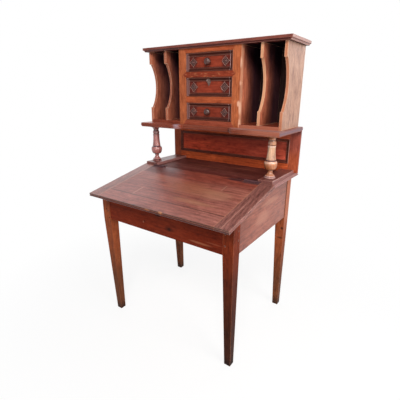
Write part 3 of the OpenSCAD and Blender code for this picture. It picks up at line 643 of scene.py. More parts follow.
    def _finish(self, graph: Graph, layers: Layers, colour: bpy.types.NodeSocket) -> None:
        """Write the shine, the relief and the shader itself.

        Args:
            graph: the shader.
            layers: the board's figure.
            colour: the final colour.
        """
        gloss = self.gloss
        rough = gloss.rough + (layers.patch - 0.5) * gloss.rough_spread * 2
        rough = rough + (layers.fibre - 0.5) * gloss.rough_spread
        bump = graph.node("ShaderNodeBump", {}, {
            "Strength": self.bump, "Distance": self.bump_height, "Height": layers.relief()})
        shader = graph.node("ShaderNodeBsdfPrincipled", {}, {
            "Base Color": colour, "Roughness": rough.clipped(), "Normal": bump.outputs[0],
            "Specular IOR Level": gloss.level})
        graph.node("ShaderNodeOutputMaterial", {}, {"Surface": shader.outputs[0]})


@dataclass(frozen=True)
class Metal:
    """A worn metal with a tarnish that gathers in patches."""

    name: str
    slot: str
    bright: Colour
    tarnish: Colour
    rough: float = 0.42
    metallic: float = 1.0
    level: float = 0.5
    tarnish_amount: float = 0.7
    patches: float = 140.0
    pits: float = 700.0
    patch_h: float = 0.6
    pit_h: float = 0.4
    bump: float = 0.3
    bump_height: float = 0.3 * MM
    dull_rough: float = 0.25
    pit_rough: float = 0.1
    dull_loss: float = 0.45

    def material(self, _grain: Grain) -> bpy.types.Material:
        """This metal's material, which is the same for all directions."""
        return shaded(self.name, self._build)

    def _build(self, graph: Graph) -> None:
        """Write the shader.

        Args:
            graph: the empty shader.
        """
        place = graph.place()
        broad = graph.noise(graph.vector("MULTIPLY", place, (self.patches,) * 3), detail=4, roughness=0.6,
                            distortion=0.5)
        fine = graph.noise(graph.vector("MULTIPLY", place, (self.pits,) * 3), detail=2)
        dull = (broad.ramp(*BROKEN_UP) * self.tarnish_amount).clipped()
        bump = graph.node("ShaderNodeBump", {}, {
            "Strength": self.bump, "Distance": self.bump_height,
            "Height": broad * self.patch_h + fine * self.pit_h})
        shader = graph.node("ShaderNodeBsdfPrincipled", {}, {
            "Base Color": graph.mix(dull, self.bright, self.tarnish),
            "Roughness": (self.rough + dull * self.dull_rough + (fine - 0.5) * self.pit_rough).clipped(),
            "Metallic": (self.metallic - dull * self.dull_loss).clipped(), "Normal": bump.outputs[0],
            "Specular IOR Level": self.level})
        graph.node("ShaderNodeOutputMaterial", {}, {"Surface": shader.outputs[0]})


# Knots, pegs and dark joints, and one painted shadow
KNOT_AND_SHADOW = (0.03, 0.007, 0.004)
# Soot on a few spots, and painted shade under the cornice
SOOT_AND_PAINTED_SHADE = (0.010, 0.006, 0.009)
# Painted shade: a tint that darkens the pigeonholes' insides towards the back and the top
PAINTED_SHADE_TINT = (0.06, 0.1, 0.42)
BARE_EDGE = (0.66, 0.38, 0.26)
# Painted sheen: makes the outer faces of the case's sides paler and greyer, as the glare on the lit side
# looks
PAINTED_GLARE_PALE = (1.04, 2.05, 2.7)
HINGE_STAIN = (0.02, 0.009, 0.013)
WORN_FRONT = (0.34, 0.13, 0.065)
LID_STAIN = (0.08, 0.02, 0.014)
# Painted shade in the grooves of the columns, and painted highlights on their beads
PAINTED_GROOVE_SHADE = (0.06, 0.022, 0.014)
PAINTED_HIGHLIGHT_BAND = (0.65, 0.42, 0.33)
RAW_BACK = (0.15, 0.055, 0.032)

# Faces on which marks lie, from the frame
FRONT_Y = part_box("front_apron")[0].y - 0.5 * MM
BACK_LEG_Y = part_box("back_right_leg")[0].y
SIDE_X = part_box("right_apron")[1].x
TOP_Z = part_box("fixed_top")[1].z
COLUMN_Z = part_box("right_column")[0].z
CASE_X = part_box("right_side")[1].x
STILE_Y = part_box("face_stiles")[0].y
LID_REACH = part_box("lid_right_cleat")[0].x


def slopes(**spans: Sequence[float]) -> tuple[Slope, ...]:
    """Slopes by axis: two numbers make one slope, and four make a rise and a fall."""
    return tuple(Slope(Axis[name.upper()], *span[i:i + 2])
                 for name, span in spans.items() for i in range(0, len(span), 2))


def front_spot(colour: Colour, strength: float, x: float, z: float, wide: float, high: float,
               deep: float = 0.03) -> Spot:
    """A spot on the front of the front legs and their apron."""
    return Spot(colour, strength, (x, FRONT_Y, z), (wide, deep, high))


def lid_spot(colour: Colour, strength: float, centre: Point, wide: float, deep: float,
             high: float = 0.06) -> Spot:
    """A spot on the sloping lid, high enough to follow its slope."""
    return Spot(colour, strength, centre, (wide, deep, high))


def top_spot(colour: Colour, strength: float, x: float, y: float, wide: float, deep: float,
             high: float = 0.02) -> Spot:
    """A spot on the fixed top."""
    return Spot(colour, strength, (x, y, TOP_Z), (wide, deep, high))


def band(colour: Colour, strength: float, height: float, width: float) -> Line:
    """A ring round a column, at a height above its foot."""
    return Line(colour, strength, Axis.Z, COLUMN_Z + height, width)


def column_slopes(*heights: float) -> tuple[Slope, ...]:
    """Slopes along a column, by heights above its foot."""
    return slopes(z=[COLUMN_Z + height for height in heights])


LEG_WOOD = Wood(
    "leg_wood", "walnut", colour=(0.2, 0.048, 0.017), ring=0.012, worn=(0.4, 0.15, 0.07), worn_amount=0.6,
    patch=(0.62, 0.58, 0.58), patch_amount=0.55, gloss=Gloss(rough=0.5, level=0.05),
    marks=(
        Tint((0.42, 0.6, 0.75), 0.85, slopes(z=(0.5, 0.15))),
        Tint((0.25, 0.4, 0.6), 0.85, slopes(z=(0.07, 0.0))),
        # painted highlight on the right-facing sides of the back legs, near the top
        Face((0.46, 0.18, 0.115), 0.6, slopes(y=(0.2, 0.25), z=(0.45, 0.62)), (1.0, 0.0, 0.0)),
        Spot(KNOT_AND_SHADOW, 0.9, (0.394, BACK_LEG_Y, 0.527), (0.011, 0.03, 0.012)),
        Spot(KNOT_AND_SHADOW, 0.7, (0.385, BACK_LEG_Y, 0.466), (0.03, 0.03, 0.008)),
        front_spot(KNOT_AND_SHADOW, 0.9, -0.379, 0.651, 0.005, 0.006, 0.006),
        front_spot(KNOT_AND_SHADOW, 0.9, -0.36, 0.604, 0.005, 0.006, 0.006)),
)
DARK_LEG_WOOD = replace(
    LEG_WOOD, name="dark_leg_wood", colour=(0.121, 0.018, 0.0052),
    marks=LEG_WOOD.marks[:2] + (
        Tint((0.5, 0.6, 0.7), 0.9, slopes(z=(0.66, 0.42))),
        front_spot(KNOT_AND_SHADOW, 0.9, 0.364, 0.645, 0.006, 0.006, 0.006),
        Spot((0.35, 0.3, 0.3), 0.8, (0.4, -0.28, 0.115), (0.004, 0.03, 0.014))),
)
SIDE_WOOD = Wood(
    "side_wood", "walnut", colour=(0.227, 0.065, 0.039), streak=0.4, ring=0.016, ring_depth=0.7, wander=0.05,
    patch=(0.75, 0.66, 0.64), patch_amount=0.55, worn=(0.45, 0.22, 0.15), gloss=Gloss(rough=0.38, level=0.3),
    marks=(
        # painted shadow in the gap where the side apron meets the back leg
        Line(KNOT_AND_SHADOW, 0.95, Axis.Y, 0.2595, 0.006),
        Line(KNOT_AND_SHADOW, 0.6, Axis.Y, -0.2465, 0.002),
        Spot((0.42, 0.19, 0.12), 0.45, (SIDE_X, 0.06, 0.75), (0.03, 0.12, 0.02)),
        Tint((0.72, 0.66, 0.66), 0.8, slopes(y=(0.02, 0.2), z=(0.7, 0.8))),
        Tint((0.8, 0.76, 0.76), 0.8, slopes(y=(-0.1, -0.24))),
        Spot((0.4, 0.17, 0.11), 0.5, (SIDE_X, -0.03, 0.69), (0.03, 0.1, 0.035)),
        Spot(KNOT_AND_SHADOW, 0.5, (SIDE_X, 0.1, 0.72), (0.03, 0.016, 0.005))),
)
APRON_WOOD = Wood(
    "apron_wood", "red_wood", colour=(0.122, 0.015, 0.0045), patch=(0.6, 0.5, 0.55), ring=0.014, wander=0.05,
    worn=(0.26, 0.08, 0.04), gloss=Gloss(rough=0.5, level=0.05),
    marks=(
        Shade((0.13, 0.035, 0.02), 0.1, slopes(x=(-0.1, 0.02, 0.2, 0.1))),
        Tint((0.7, 0.64, 0.6), 0.8, slopes(x=(0.1, 0.3))),
        front_spot(WORN_FRONT, 0.4, 0.23, 0.62, 0.075, 0.007),
        front_spot((0.26, 0.08, 0.04), 0.3, 0.3, 0.636, 0.06, 0.005),
        front_spot(KNOT_AND_SHADOW, 0.95, 0.06, 0.641, 0.014, 0.01),
        front_spot(KNOT_AND_SHADOW, 0.5, 0.06, 0.641, 0.034, 0.02),
        front_spot(KNOT_AND_SHADOW, 0.7, -0.099, 0.646, 0.006, 0.006),
        front_spot((0.34, 0.14, 0.08), 0.4, -0.106, 0.64, 0.006, 0.006),
        front_spot(SOOT_AND_PAINTED_SHADE, 0.8, -0.006, 0.695, 0.03, 0.008)),
)
# Painted shade: the front lip of the lid and its cleats, darkened as the shadow under the lid's edge
PAINTED_SHADE_LIP = Shade((0.045, 0.006, 0.002), 0.95, slopes(y=(-0.3705, -0.3725)))
LID_WOOD = Wood(
    "lid_wood", "lid_wood", colour=(0.212, 0.055, 0.037), streak=0.55, ring=0.02, ring_depth=0.7, wander=0.07,
    patch=(0.66, 0.56, 0.56), patch_amount=0.55, fibre_depth=0.75, worn=(0.4, 0.17, 0.09), worn_amount=0.5,
    bump=0.18, gloss=Gloss(rough=0.36, rough_spread=0.16, level=0.33),
    marks=(
        # painted reflection: the rear left of the lid darkened, for the dark case mirrored there
        Tint((0.4, 0.2, 0.2), 0.85, slopes(y=(-0.07, 0.01), x=(-0.08, -0.18))),
        lid_spot((0.3, 0.1, 0.05), 0.5, (0.05, -0.13, 0.8), 0.22, 0.09),
        lid_spot((0.3, 0.09, 0.045), 0.45, (-0.16, -0.08, 0.808), 0.13, 0.04),
        lid_spot((0.32, 0.11, 0.06), 0.45, (0.22, -0.15, 0.794), 0.1, 0.06),
        lid_spot((0.32, 0.12, 0.06), 0.45, (0.12, -0.24, 0.78), 0.16, 0.025),
        lid_spot(LID_STAIN, 0.4, (-0.05, -0.2, 0.79), 0.14, 0.012),
        lid_spot(LID_STAIN, 0.4, (0.14, -0.055, 0.81), 0.17, 0.012),
        lid_spot(LID_STAIN, 0.35, (-0.27, -0.02, 0.82), 0.1, 0.02),
        Line((0.5, 0.22, 0.13), 0.5, Axis.X, 0.213, 0.0022, slopes(y=(-0.11, -0.09, -0.035, -0.05))),
        Line((0.5, 0.23, 0.15), 0.55, Axis.X, -0.19, 0.004, slopes(y=(-0.29, -0.283, -0.19, -0.225))),
        # painted sheen: the right part of the lid paler and pinker
        Tint((1.2, 1.8, 2.1), 0.8, slopes(x=(-0.05, 0.3), y=(0.02, -0.06))),
        Line(KNOT_AND_SHADOW, 0.75, Axis.Y, -0.29, 0.0045, slopes(out=(LID_REACH + 0.004, LID_REACH))),
        Line(KNOT_AND_SHADOW, 0.4, Axis.Y, -0.165, 0.0016, slopes(x=(0.1, -0.1))),
        Spot((0.03, 0.012, 0.016), 0.9, (0.215, 0.038, 0.83), (0.065, 0.02, 0.02)),
        Spot((0.03, 0.012, 0.016), 0.6, (0.29, 0.022, 0.828), (0.06, 0.008, 0.02)),
        Line((0.4, 0.18, 0.1), 0.6, Axis.OUT, LID_REACH - 0.001, 0.002),
        PAINTED_SHADE_LIP,
        Spot((0.5, 0.19, 0.06), 0.75, (0.070, -0.373, 0.748), (0.014, 0.008, 0.01)),
        Spot((0.5, 0.19, 0.06), 0.5, (-0.01, -0.373, 0.745), (0.02, 0.008, 0.006)),
        Spot(SOOT_AND_PAINTED_SHADE, 0.8, (-0.0965, -0.373, 0.75), (0.02, 0.01, 0.005))),
    joints=(
        Joint(Axis.Y, -0.29, 0.61, (0.92, 0.86, 0.84)),
        Joint(Axis.Y, -0.165, 1.3, (1.08, 1.05, 1.0)),
        Joint(Axis.Y, -0.05, 2.1, (0.88, 0.8, 0.8))),
)
FIXED_TOP_WOOD = replace(
    LID_WOOD, name="fixed_top_wood", colour=(0.098, 0.026, 0.02), mottle=1.0, patch_amount=0.9, streak=0.8,
    gloss=Gloss(rough=0.5, level=0.05), joints=(Joint(Axis.Y, 0.17, 0.8, (0.85, 0.8, 0.8)),),
    marks=(
        # painted shade: the fixed top darker towards the front left
        Tint((0.7, 0.55, 0.62), 0.9, slopes(y=(0.12, 0.06), x=(-0.25, -0.12))),
        # painted sheen on the right margin of the fixed top
        Shade((0.42, 0.23, 0.22), 0.65, slopes(x=(0.404, 0.409))),
        top_spot(HINGE_STAIN, 0.85, 0.235, 0.058, 0.05, 0.014),
        top_spot(HINGE_STAIN, 0.8, 0.31, 0.075, 0.05, 0.012),
        top_spot(HINGE_STAIN, 0.7, -0.3, 0.074, 0.06, 0.012),
        top_spot((0.2, 0.07, 0.05), 0.5, -0.1, 0.12, 0.14, 0.014),
        top_spot((0.2, 0.07, 0.05), 0.5, 0.12, 0.15, 0.1, 0.01),
        top_spot((0.25, 0.08, 0.045), 0.6, -0.05, 0.2, 0.2, 0.009),
        top_spot((0.25, 0.08, 0.045), 0.6, 0.1, 0.26, 0.16, 0.009),
        top_spot(KNOT_AND_SHADOW, 0.5, -0.15, 0.235, 0.15, 0.008),
        Line((0.25, 0.12, 0.1), 0.6, Axis.Y, 0.105, 0.002, slopes(x=(0.08, 0.1, 0.2, 0.17)))),
)
CLEAT_WOOD = Wood(
    "cleat_wood", "lid_wood", colour=(0.18, 0.067, 0.054), streak=0.6, ring=0.011, ring_depth=0.8,
    fibre_depth=0.9, patch=(0.7, 0.64, 0.66), worn=(0.5, 0.25, 0.17), worn_amount=0.6,
    gloss=Gloss(rough=0.38, level=0.42),
    marks=(
        Line(KNOT_AND_SHADOW, 0.35, Axis.OUT, 0.367, 0.005, slopes(y=(0.02, -0.06))),
        Line(KNOT_AND_SHADOW, 0.42, Axis.OUT, 0.3925, 0.0045, slopes(y=(-0.34, -0.26))),
        Line(KNOT_AND_SHADOW, 0.3, Axis.OUT, 0.408, 0.003),
        Line((0.5, 0.26, 0.2), 0.5, Axis.OUT, 0.38, 0.003, slopes(y=(-0.1, -0.2))),
        PAINTED_SHADE_LIP),
)
LEFT_CLEAT_WOOD = replace(
    CLEAT_WOOD, name="left_cleat_wood", colour=(0.19, 0.064, 0.048), streak=0.45, ring_depth=0.5,
    fibre_depth=0.6, marks=(CLEAT_WOOD.marks[0], PAINTED_SHADE_LIP),
)
STRIP_WOOD = replace(
    CLEAT_WOOD, name="strip_wood", colour=(0.128, 0.04, 0.033), fibre_depth=0.5, worn_amount=0.9,
    # painted highlight on the sides that look towards the window lamp
    marks=(Face((0.34, 0.17, 0.16), 0.6, (), (1.0, 0.0, 0.0)),),
)
SHELF_WOOD = Wood(
    "shelf_wood", "walnut", colour=(0.17, 0.032, 0.015), worn=(0.42, 0.2, 0.14), worn_amount=0.5,
    gloss=Gloss(rough=0.4, level=0.2),
    marks=(
        # painted sheen on the shelf's right end
        Shade((0.14, 0.08, 0.1), 0.85, slopes(x=(0.4245, 0.4275))),
        Face((0.13, 0.025, 0.01), 0.7, slopes(x=(-0.3, 0.0))),
        Face((0.38, 0.13, 0.08), 0.55, slopes(x=(0.2, 0.32))),
        # painted sheen on a strip of the shelf's top, right of the middle
        Face((0.36, 0.2, 0.18), 0.7, slopes(x=(0.12, 0.17), y=(0.11, 0.1)), (0.0, 0.0, 1.0)),
        Face((0.32, 0.09, 0.06), 0.75, slopes(x=(-0.2, -0.3)), (0.0, 0.0, 1.0)),
        # painted shadow where the shelf's recess meets its right section
        Spot((0.02, 0.008, 0.008), 0.9, (0.153, 0.068, 1.064), (0.02, 0.03, 0.02)),
        # painted highlight on the rounded left end of the shelf's recess
        Spot((0.29, 0.255, 0.315), 0.9, (-0.178, 0.06, 1.068), (0.026, 0.035, 0.03))),
)
PIGEONHOLE_FLOOR_WOOD = replace(
    SHELF_WOOD, name="pigeonhole_floor_wood", marks=(Face((0.36, 0.12, 0.07), 0.85, slopes(x=(0.15, 0.19))),),
)
PANEL_FRAME_WOOD = Wood(
    "panel_frame_wood", "walnut", colour=(0.303, 0.064, 0.026), streak=0.35, patch=(0.62, 0.5, 0.5),
    worn=(0.5, 0.16, 0.07), gloss=Gloss(rough=0.45, level=0.1),
    marks=(
        # painted shade under the shelf
        Tint((0.45, 0.5, 0.7), 0.9, slopes(z=(1.02, 1.05))),
        Tint((0.75, 0.83, 1.4), 0.9, slopes(z=(0.9, 0.98), x=(0.3, 0.35))),
        Shade(RAW_BACK, 0.9, slopes(y=(0.3505, 0.3525)))),
)
# Painted light: the frame's wood made brighter for the rail, which lies in shadow
LIT_PANEL_RAIL_WOOD = replace(PANEL_FRAME_WOOD, name="lit_panel_rail_wood", colour=(0.44, 0.078, 0.024))
# Painted light: the board's colour is raised to make up for the shade under the shelf
PANEL_WOOD = Wood(
    "panel_wood", "red_wood", colour=(0.44, 0.06, 0.03), streak=0.4, patch=(0.6, 0.5, 0.5), patch_amount=0.6,
    ring=0.018, wander=0.06, gloss=Gloss(rough=0.45, level=0.1),
    marks=(
        Tint((0.8, 0.9, 1.0), 0.9, slopes(x=(0.05, 0.15))),
        Tint((1.6, 1.75, 1.75), 0.9, slopes(x=(0.28, 0.33))),
        Tint((1.6, 1.6, 1.4), 0.9, slopes(x=(0.0, -0.3))),
        # painted shade: darker towards the top, under the shelf
        Tint((0.3, 0.32, 0.4), 0.9, slopes(z=(0.925, 1.015))),
        Shade(RAW_BACK, 0.9, slopes(y=(0.3475, 0.3495)))),
)
PANEL_MOULDING_WOOD = Wood(
    "panel_moulding_wood", "dark_wood", colour=(0.1, 0.023, 0.014), worn=(0.5, 0.24, 0.17), worn_amount=0.6,
    edge=0.0025, gloss=Gloss(rough=0.42, level=0.1),
    marks=(
        # painted highlights along the side members
        Line((0.6, 0.36, 0.3), 0.6, Axis.X, 0.371, 0.003),
        Line((0.4, 0.2, 0.16), 0.5, Axis.X, -0.371, 0.002)),
)
# Where the painted shade lies in the pigeonholes: deep behind, and high up near the front
PAINTED_SHADE_BEHIND = slopes(y=(0.15, 0.27))
PAINTED_SHADE_ABOVE = slopes(y=(0.11, 0.19), z=(1.28, 1.44))
INNER_FACES = slopes(out=(CASE_X - 5 * MM, CASE_X - 9 * MM))
OUTER_FACES = slopes(out=(CASE_X - 2.5 * MM, CASE_X - 0.5 * MM))
CASE_WOOD = Wood(
    "case_wood", "walnut", colour=(0.328, 0.095, 0.05), streak=0.5, patch=(0.66, 0.58, 0.58),
    patch_amount=0.55, ring=0.014, ring_depth=0.8, wander=0.045, fibre_depth=0.7, worn=(0.6, 0.37, 0.24),
    worn_amount=0.95, edge=0.006, gloss=Gloss(rough=0.42, level=0.2),
    marks=(
        Tint(PAINTED_SHADE_TINT, 0.9, PAINTED_SHADE_BEHIND),
        Tint(PAINTED_SHADE_TINT, 0.85, PAINTED_SHADE_ABOVE),
        # painted shade, deeper in the left pigeonholes
        Tint((0.3, 0.3, 0.5), 0.9, slopes(x=(-0.2, -0.25), y=(0.13, 0.21))),
        Face((0.6, 0.31, 0.17), 0.75, slopes(x=(0.1, 0.2)))),
)
CASE_SIDE_WOOD = replace(
    CASE_WOOD, name="case_side_wood",
    marks=(
        Tint(PAINTED_SHADE_TINT, 0.9, PAINTED_SHADE_BEHIND + INNER_FACES),
        Tint(PAINTED_SHADE_TINT, 0.85, PAINTED_SHADE_ABOVE + INNER_FACES),
        # painted sheen on the outer faces
        Tint(PAINTED_GLARE_PALE, 0.95, OUTER_FACES),
        Face((0.45, 0.19, 0.1), 0.6, slopes(x=(0.1, 0.2)))),
)
BACK_WOOD = Wood(
    "back_wood", "red_wood", colour=(0.17, 0.06, 0.033), ring=0.011, ring_depth=0.7,
    gloss=Gloss(rough=0.6, level=0.2),
)
CASE_BACK_WOOD = replace(
    BACK_WOOD, name="case_back_wood", gloss=Gloss(rough=0.6, level=0.1),
    # painted shade: the front face of the case back, deep in the pigeonholes, tinted near black
    marks=(Tint((0.12, 0.14, 0.2), 1.0, slopes(y=(0.334, 0.33))),),
)
STILE_OAK = Wood(
    "stile_oak", "oak", colour=(0.31, 0.082, 0.031), streak=0.5, ring=0.006, wander=0.02, fibre_depth=0.7,
    worn=(0.5, 0.2, 0.09), worn_amount=0.4, gloss=Gloss(rough=0.45, level=0.08),
    marks=(
        Spot(BARE_EDGE, 0.8, (0.186, STILE_Y, 1.38), (0.004, 0.02, 0.03)),
        Spot(BARE_EDGE, 0.7, (0.185, STILE_Y, 1.29), (0.004, 0.03, 0.015)),
        Spot(BARE_EDGE, 0.95, (0.18, STILE_Y, 1.195), (0.011, 0.03, 0.02)),
        Spot(BARE_EDGE, 0.9, (0.186, STILE_Y, 1.17), (0.006, 0.03, 0.035)),
        Spot(BARE_EDGE, 0.8, (0.186, STILE_Y, 1.1), (0.005, 0.03, 0.03)),
        Line(BARE_EDGE, 0.4, Axis.X, 0.187, 0.0025)),
)
RAIL_OAK = replace(STILE_OAK, name="rail_oak", colour=(0.28, 0.06, 0.022), marks=())
SILKY_OAK = replace(
    STILE_OAK, name="silky_oak", colour=(0.17, 0.027, 0.012), fleck=0.5, worn=(0.42, 0.15, 0.07),
    worn_amount=0.1, marks=(),
)
DARK_RAIL_WOOD = replace(
    STILE_OAK, name="dark_rail_wood", slot="red_wood", colour=(0.215, 0.046, 0.024), marks=(),
)
DRAWER_WOOD = Wood(
    "drawer_wood", "red_wood", colour=(0.188, 0.029, 0.014), streak=0.4, patch=(0.6, 0.5, 0.5), ring=0.01,
    wander=0.04, gloss=Gloss(rough=0.48, level=0.08),
    marks=(
        Tint((0.45, 0.5, 0.8), 0.85, slopes(out=(0.07, 0.085))),
        Tint((0.9, 0.94, 1.0), 0.9, slopes(z=(1.22, 1.19)))),
)
DARK_WOOD = Wood(
    "dark_wood", "dark_wood", colour=(0.05, 0.014, 0.010), ring=0.006, worn=(0.45, 0.22, 0.18),
    worn_amount=0.5, edge=0.0016, gloss=Gloss(rough=0.34, level=0.2),
)
CARVED_WOOD = replace(
    DARK_WOOD, name="carved_wood", colour=(0.065, 0.017, 0.011), worn_amount=1.8, turned=True,
    gloss=Gloss(rough=0.22, rough_spread=0.05, level=0.5),
)
MOULDING_WOOD = replace(
    DARK_WOOD, name="moulding_wood", colour=(0.065, 0.015, 0.009), turned=True,
    gloss=Gloss(rough=0.36, level=0.1),
    marks=(
        # painted sheen on the left members, and a painted highlight on the right ones
        Shade((0.3, 0.15, 0.14), 0.6, slopes(x=(-0.121, -0.125))),
        Line((0.55, 0.4, 0.4), 0.7, Axis.X, 0.1235, 0.0014)),
)
KNOB_WOOD = replace(
    DARK_WOOD, name="knob_wood", worn_amount=0.4, turned=True,
    gloss=Gloss(rough=0.2, rough_spread=0.04, level=0.45),
)
CORNICE_WOOD = Wood(
    "cornice_wood", "dark_wood", colour=(0.137, 0.033, 0.022), ring=0.012, worn=(0.42, 0.2, 0.14),
    worn_amount=0.6, gloss=Gloss(rough=0.38, level=0.25),
    marks=(
        # painted highlight on the end faces that look towards the window lamp
        Face((0.36, 0.2, 0.17), 0.8, (), (1.0, 0.0, 0.0)),
        # painted shade on the lower, receding part of the cornice's front
        Tint((0.42, 0.36, 0.45), 0.9, slopes(z=(1.4715, 1.4685), out=(0.425, 0.415))),
        # painted shade: the cornice's underside inside the pigeonholes
        Face(SOOT_AND_PAINTED_SHADE, 0.95, slopes(y=(0.12, 0.14), out=(0.408, 0.405)), (0.0, 0.0, -1.0))),
)
GOLDEN_COLUMN_WOOD = Wood(
    "golden_column_wood", "oak", colour=(0.42, 0.171, 0.077), streak=0.5, ring=0.007, ring_depth=0.8,
    wander=0.02, patch=(0.55, 0.42, 0.38), patch_amount=0.6, worn=(0.75, 0.5, 0.36), turned=True,
    gloss=Gloss(rough=0.25, rough_spread=0.08, level=0.8),
    marks=(
        # painted shade in the grooves
        band((0.045, 0.026, 0.045), 0.9, 0.088, 0.005),
        band((0.05, 0.018, 0.018), 0.85, 0.0065, 0.003),
        band(PAINTED_GROOVE_SHADE, 0.8, 0.042, 0.0035),
        band(PAINTED_GROOVE_SHADE, 0.85, 0.1625, 0.003),
        band(PAINTED_GROOVE_SHADE, 0.85, 0.1835, 0.0045),
        # painted highlights on the bowl's shoulder and a collar
        band(PAINTED_HIGHLIGHT_BAND, 0.5, 0.079, 0.006),
        band(PAINTED_HIGHLIGHT_BAND, 0.4, 0.156, 0.006),
        # painted highlight on the foot's beads
        Shade((0.5, 0.3, 0.29), 0.6, column_slopes(0.014, 0.012)),
        Tint((0.8, 0.68, 0.55), 0.9, column_slopes(0.075, 0.065, 0.015, 0.018)),
        Tint((0.65, 0.55, 0.5), 0.8, column_slopes(0.181, 0.198)),
        Tint((0.93, 1.28, 1.65), 0.9, column_slopes(0.091, 0.098, 0.163, 0.153)),
        band(PAINTED_GROOVE_SHADE, 0.6, 0.197, 0.002)),
)
# The red column keeps only the painted shade in its grooves
RED_COLUMN_WOOD = replace(
    GOLDEN_COLUMN_WOOD, name="red_column_wood", colour=(0.282, 0.095, 0.082), worn=(0.5, 0.28, 0.22),
    marks=GOLDEN_COLUMN_WOOD.marks[:5],
)
BARE_PINE = Wood(
    "bare_pine", "pine", colour=(0.42, 0.23, 0.1), ring=0.007, ring_depth=0.8, fibre_depth=0.3,
    worn=(0.55, 0.35, 0.18), gloss=Gloss(rough=0.62, level=0.2),
)
IRON = Metal(
    "worn_iron", "iron", bright=(0.1, 0.038, 0.04), tarnish=(0.036, 0.014, 0.018), rough=0.55, metallic=0.45,
    level=0.3,
)
OLD_BRASS = Metal(
    "old_brass", "brass", bright=(0.3, 0.2, 0.17), tarnish=(0.03, 0.012, 0.009), rough=0.36, metallic=0.9,
    tarnish_amount=1.0,
)

Finish = Wood | Metal

# The width of an arris that isn't broken
SHARP = 0.0


@dataclass
class Joinery:
    """Shared ways to dress the solids and to make new meshes."""

    arris: float = 1.2 * MM
    flat_angle: float = 0.5
    edge_angle: float = 38.0
    edge_segments: int = 2
    made: list[str] = field(default_factory=list)

    def dress(self, node: str, finish: Finish, grain: Grain, arris: float | None = None) -> None:
        """Give a solid its material and break its sharp edges.

        Args:
            node: the solid's name.
            finish: the wood or metal.
            grain: the direction of the fibres.
            arris: how wide the broken edge is, if not the usual width.
        """
        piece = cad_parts[node]
        material = finish.material(grain)
        if not piece.material_slots:
            piece.data.materials.append(material)
        for place in piece.material_slots:
            place.material = material
        width = self.arris if arris is None else arris
        if width:
            flat = piece.modifiers.new("flat", "DECIMATE")
            flat.decimate_type = "DISSOLVE"
            flat.angle_limit = math.radians(self.flat_angle)
            edge = piece.modifiers.new("arris", "BEVEL")
            edge.width = width
            edge.segments = self.edge_segments
            edge.limit_method = "ANGLE"
            edge.angle_limit = math.radians(self.edge_angle)
        self.note(node)

    def note(self, name: str) -> None:
        """Report a finished piece."""
        self.made.append(name)
        log.info("%s is done", name)

    def add(self, name: str, points: Iterable[Point], faces: Iterable[Sequence[int]],
            body: str, finishes: Sequence[tuple[Finish, Grain]], smooth: float = 30.0) -> bpy.types.Object:
        """Make a piece from points and faces.

        Args:
            name: the piece's name.
            points: its points in metres, in the row frame.
            faces: its faces.
            body: the body that it moves with.
            finishes: its finishes, the first of which gives its slot.
            smooth: the angle in degrees up to which edges are shaded smooth.

        Returns:
            The new object.
        """
        mesh = bpy.data.meshes.new(name)
        mesh.from_pydata([Vector(point) for point in points], [], [list(face) for face in faces])
        mesh.validate()
        mesh.update()
        for polygon in mesh.polygons:
            polygon.use_smooth = True
        mesh.set_sharp_from_angle(angle=math.radians(smooth))
        for finish, grain in finishes:
            mesh.materials.append(finish.material(grain))
        piece = bpy.data.objects.new(name, mesh)
        bpy.context.scene.collection.objects.link(piece)
        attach(piece, body)
        self.note(name)
        return piece


def lathe(outline: Profile, place: Callable[[float, float, float], Point],
          steps: int = 96) -> tuple[list[Point], list[list[int]]]:
    """Turn an outline about its axis.

    Args:
        outline: radius and height, from the foot up, both ends on the axis.
        place: puts a point given by two cross directions and a height into the row frame.
        steps: how many steps go round.

    Returns:
        The points and the faces.
    """
    points: list[Point] = []
    faces: list[list[int]] = []
    rings: list[list[int]] = []
    for radius, height in outline:
        first = len(points)
        if radius == 0.0:
            points.append(place(0.0, 0.0, height))
            rings.append([first])
            continue
        for step in range(steps):
            angle = 2 * math.pi * step / steps
            points.append(place(radius * math.cos(angle), radius * math.sin(angle), height))
        rings.append(list(range(first, first + steps)))
    for low, high in zip(rings, rings[1:]):
        for step in range(steps):
            after = (step + 1) % steps
            face = [(low, step), (low, after), (high, after), (high, step)]
            faces.append(list(dict.fromkeys(ring[i % len(ring)] for ring, i in face)))
    return points, faces


def arc(centre: tuple[float, float], radius: float, start: float, end: float,
        steps: int = 14) -> list[tuple[float, float]]:
    """Points on an arc between two angles in degrees, both ends included."""
    turns = [math.radians(start + (end - start) * i / steps) for i in range(steps + 1)]
    return [(centre[0] + radius * math.cos(t), centre[1] + radius * math.sin(t)) for t in turns]


@dataclass
class LegFrame:
    """Four legs, their aprons and pegs, the well's floor and its bearers."""

    joinery: Joinery
    soft_arris: float = 2.2 * MM

    def build(self) -> None:
        """Dress the whole frame."""
        for corner in ("front_left", "back_left", "back_right"):
            self.joinery.dress(f"{corner}_leg", LEG_WOOD, Grain.HEIGHT, self.soft_arris)
        self.joinery.dress("front_right_leg", DARK_LEG_WOOD, Grain.HEIGHT, self.soft_arris)
        self.joinery.dress("front_apron", APRON_WOOD, Grain.WIDTH)
        self.joinery.dress("back_apron", BACK_WOOD, Grain.WIDTH)
        for side in ("left", "right"):
            self.joinery.dress(f"{side}_apron", SIDE_WOOD, Grain.DEPTH)
        self.joinery.dress("apron_pegs", DARK_WOOD, Grain.DEPTH, SHARP)
        self.joinery.dress("well_floor", BARE_PINE, Grain.WIDTH)
        self.joinery.dress("well_bearers", BARE_PINE, Grain.WIDTH)


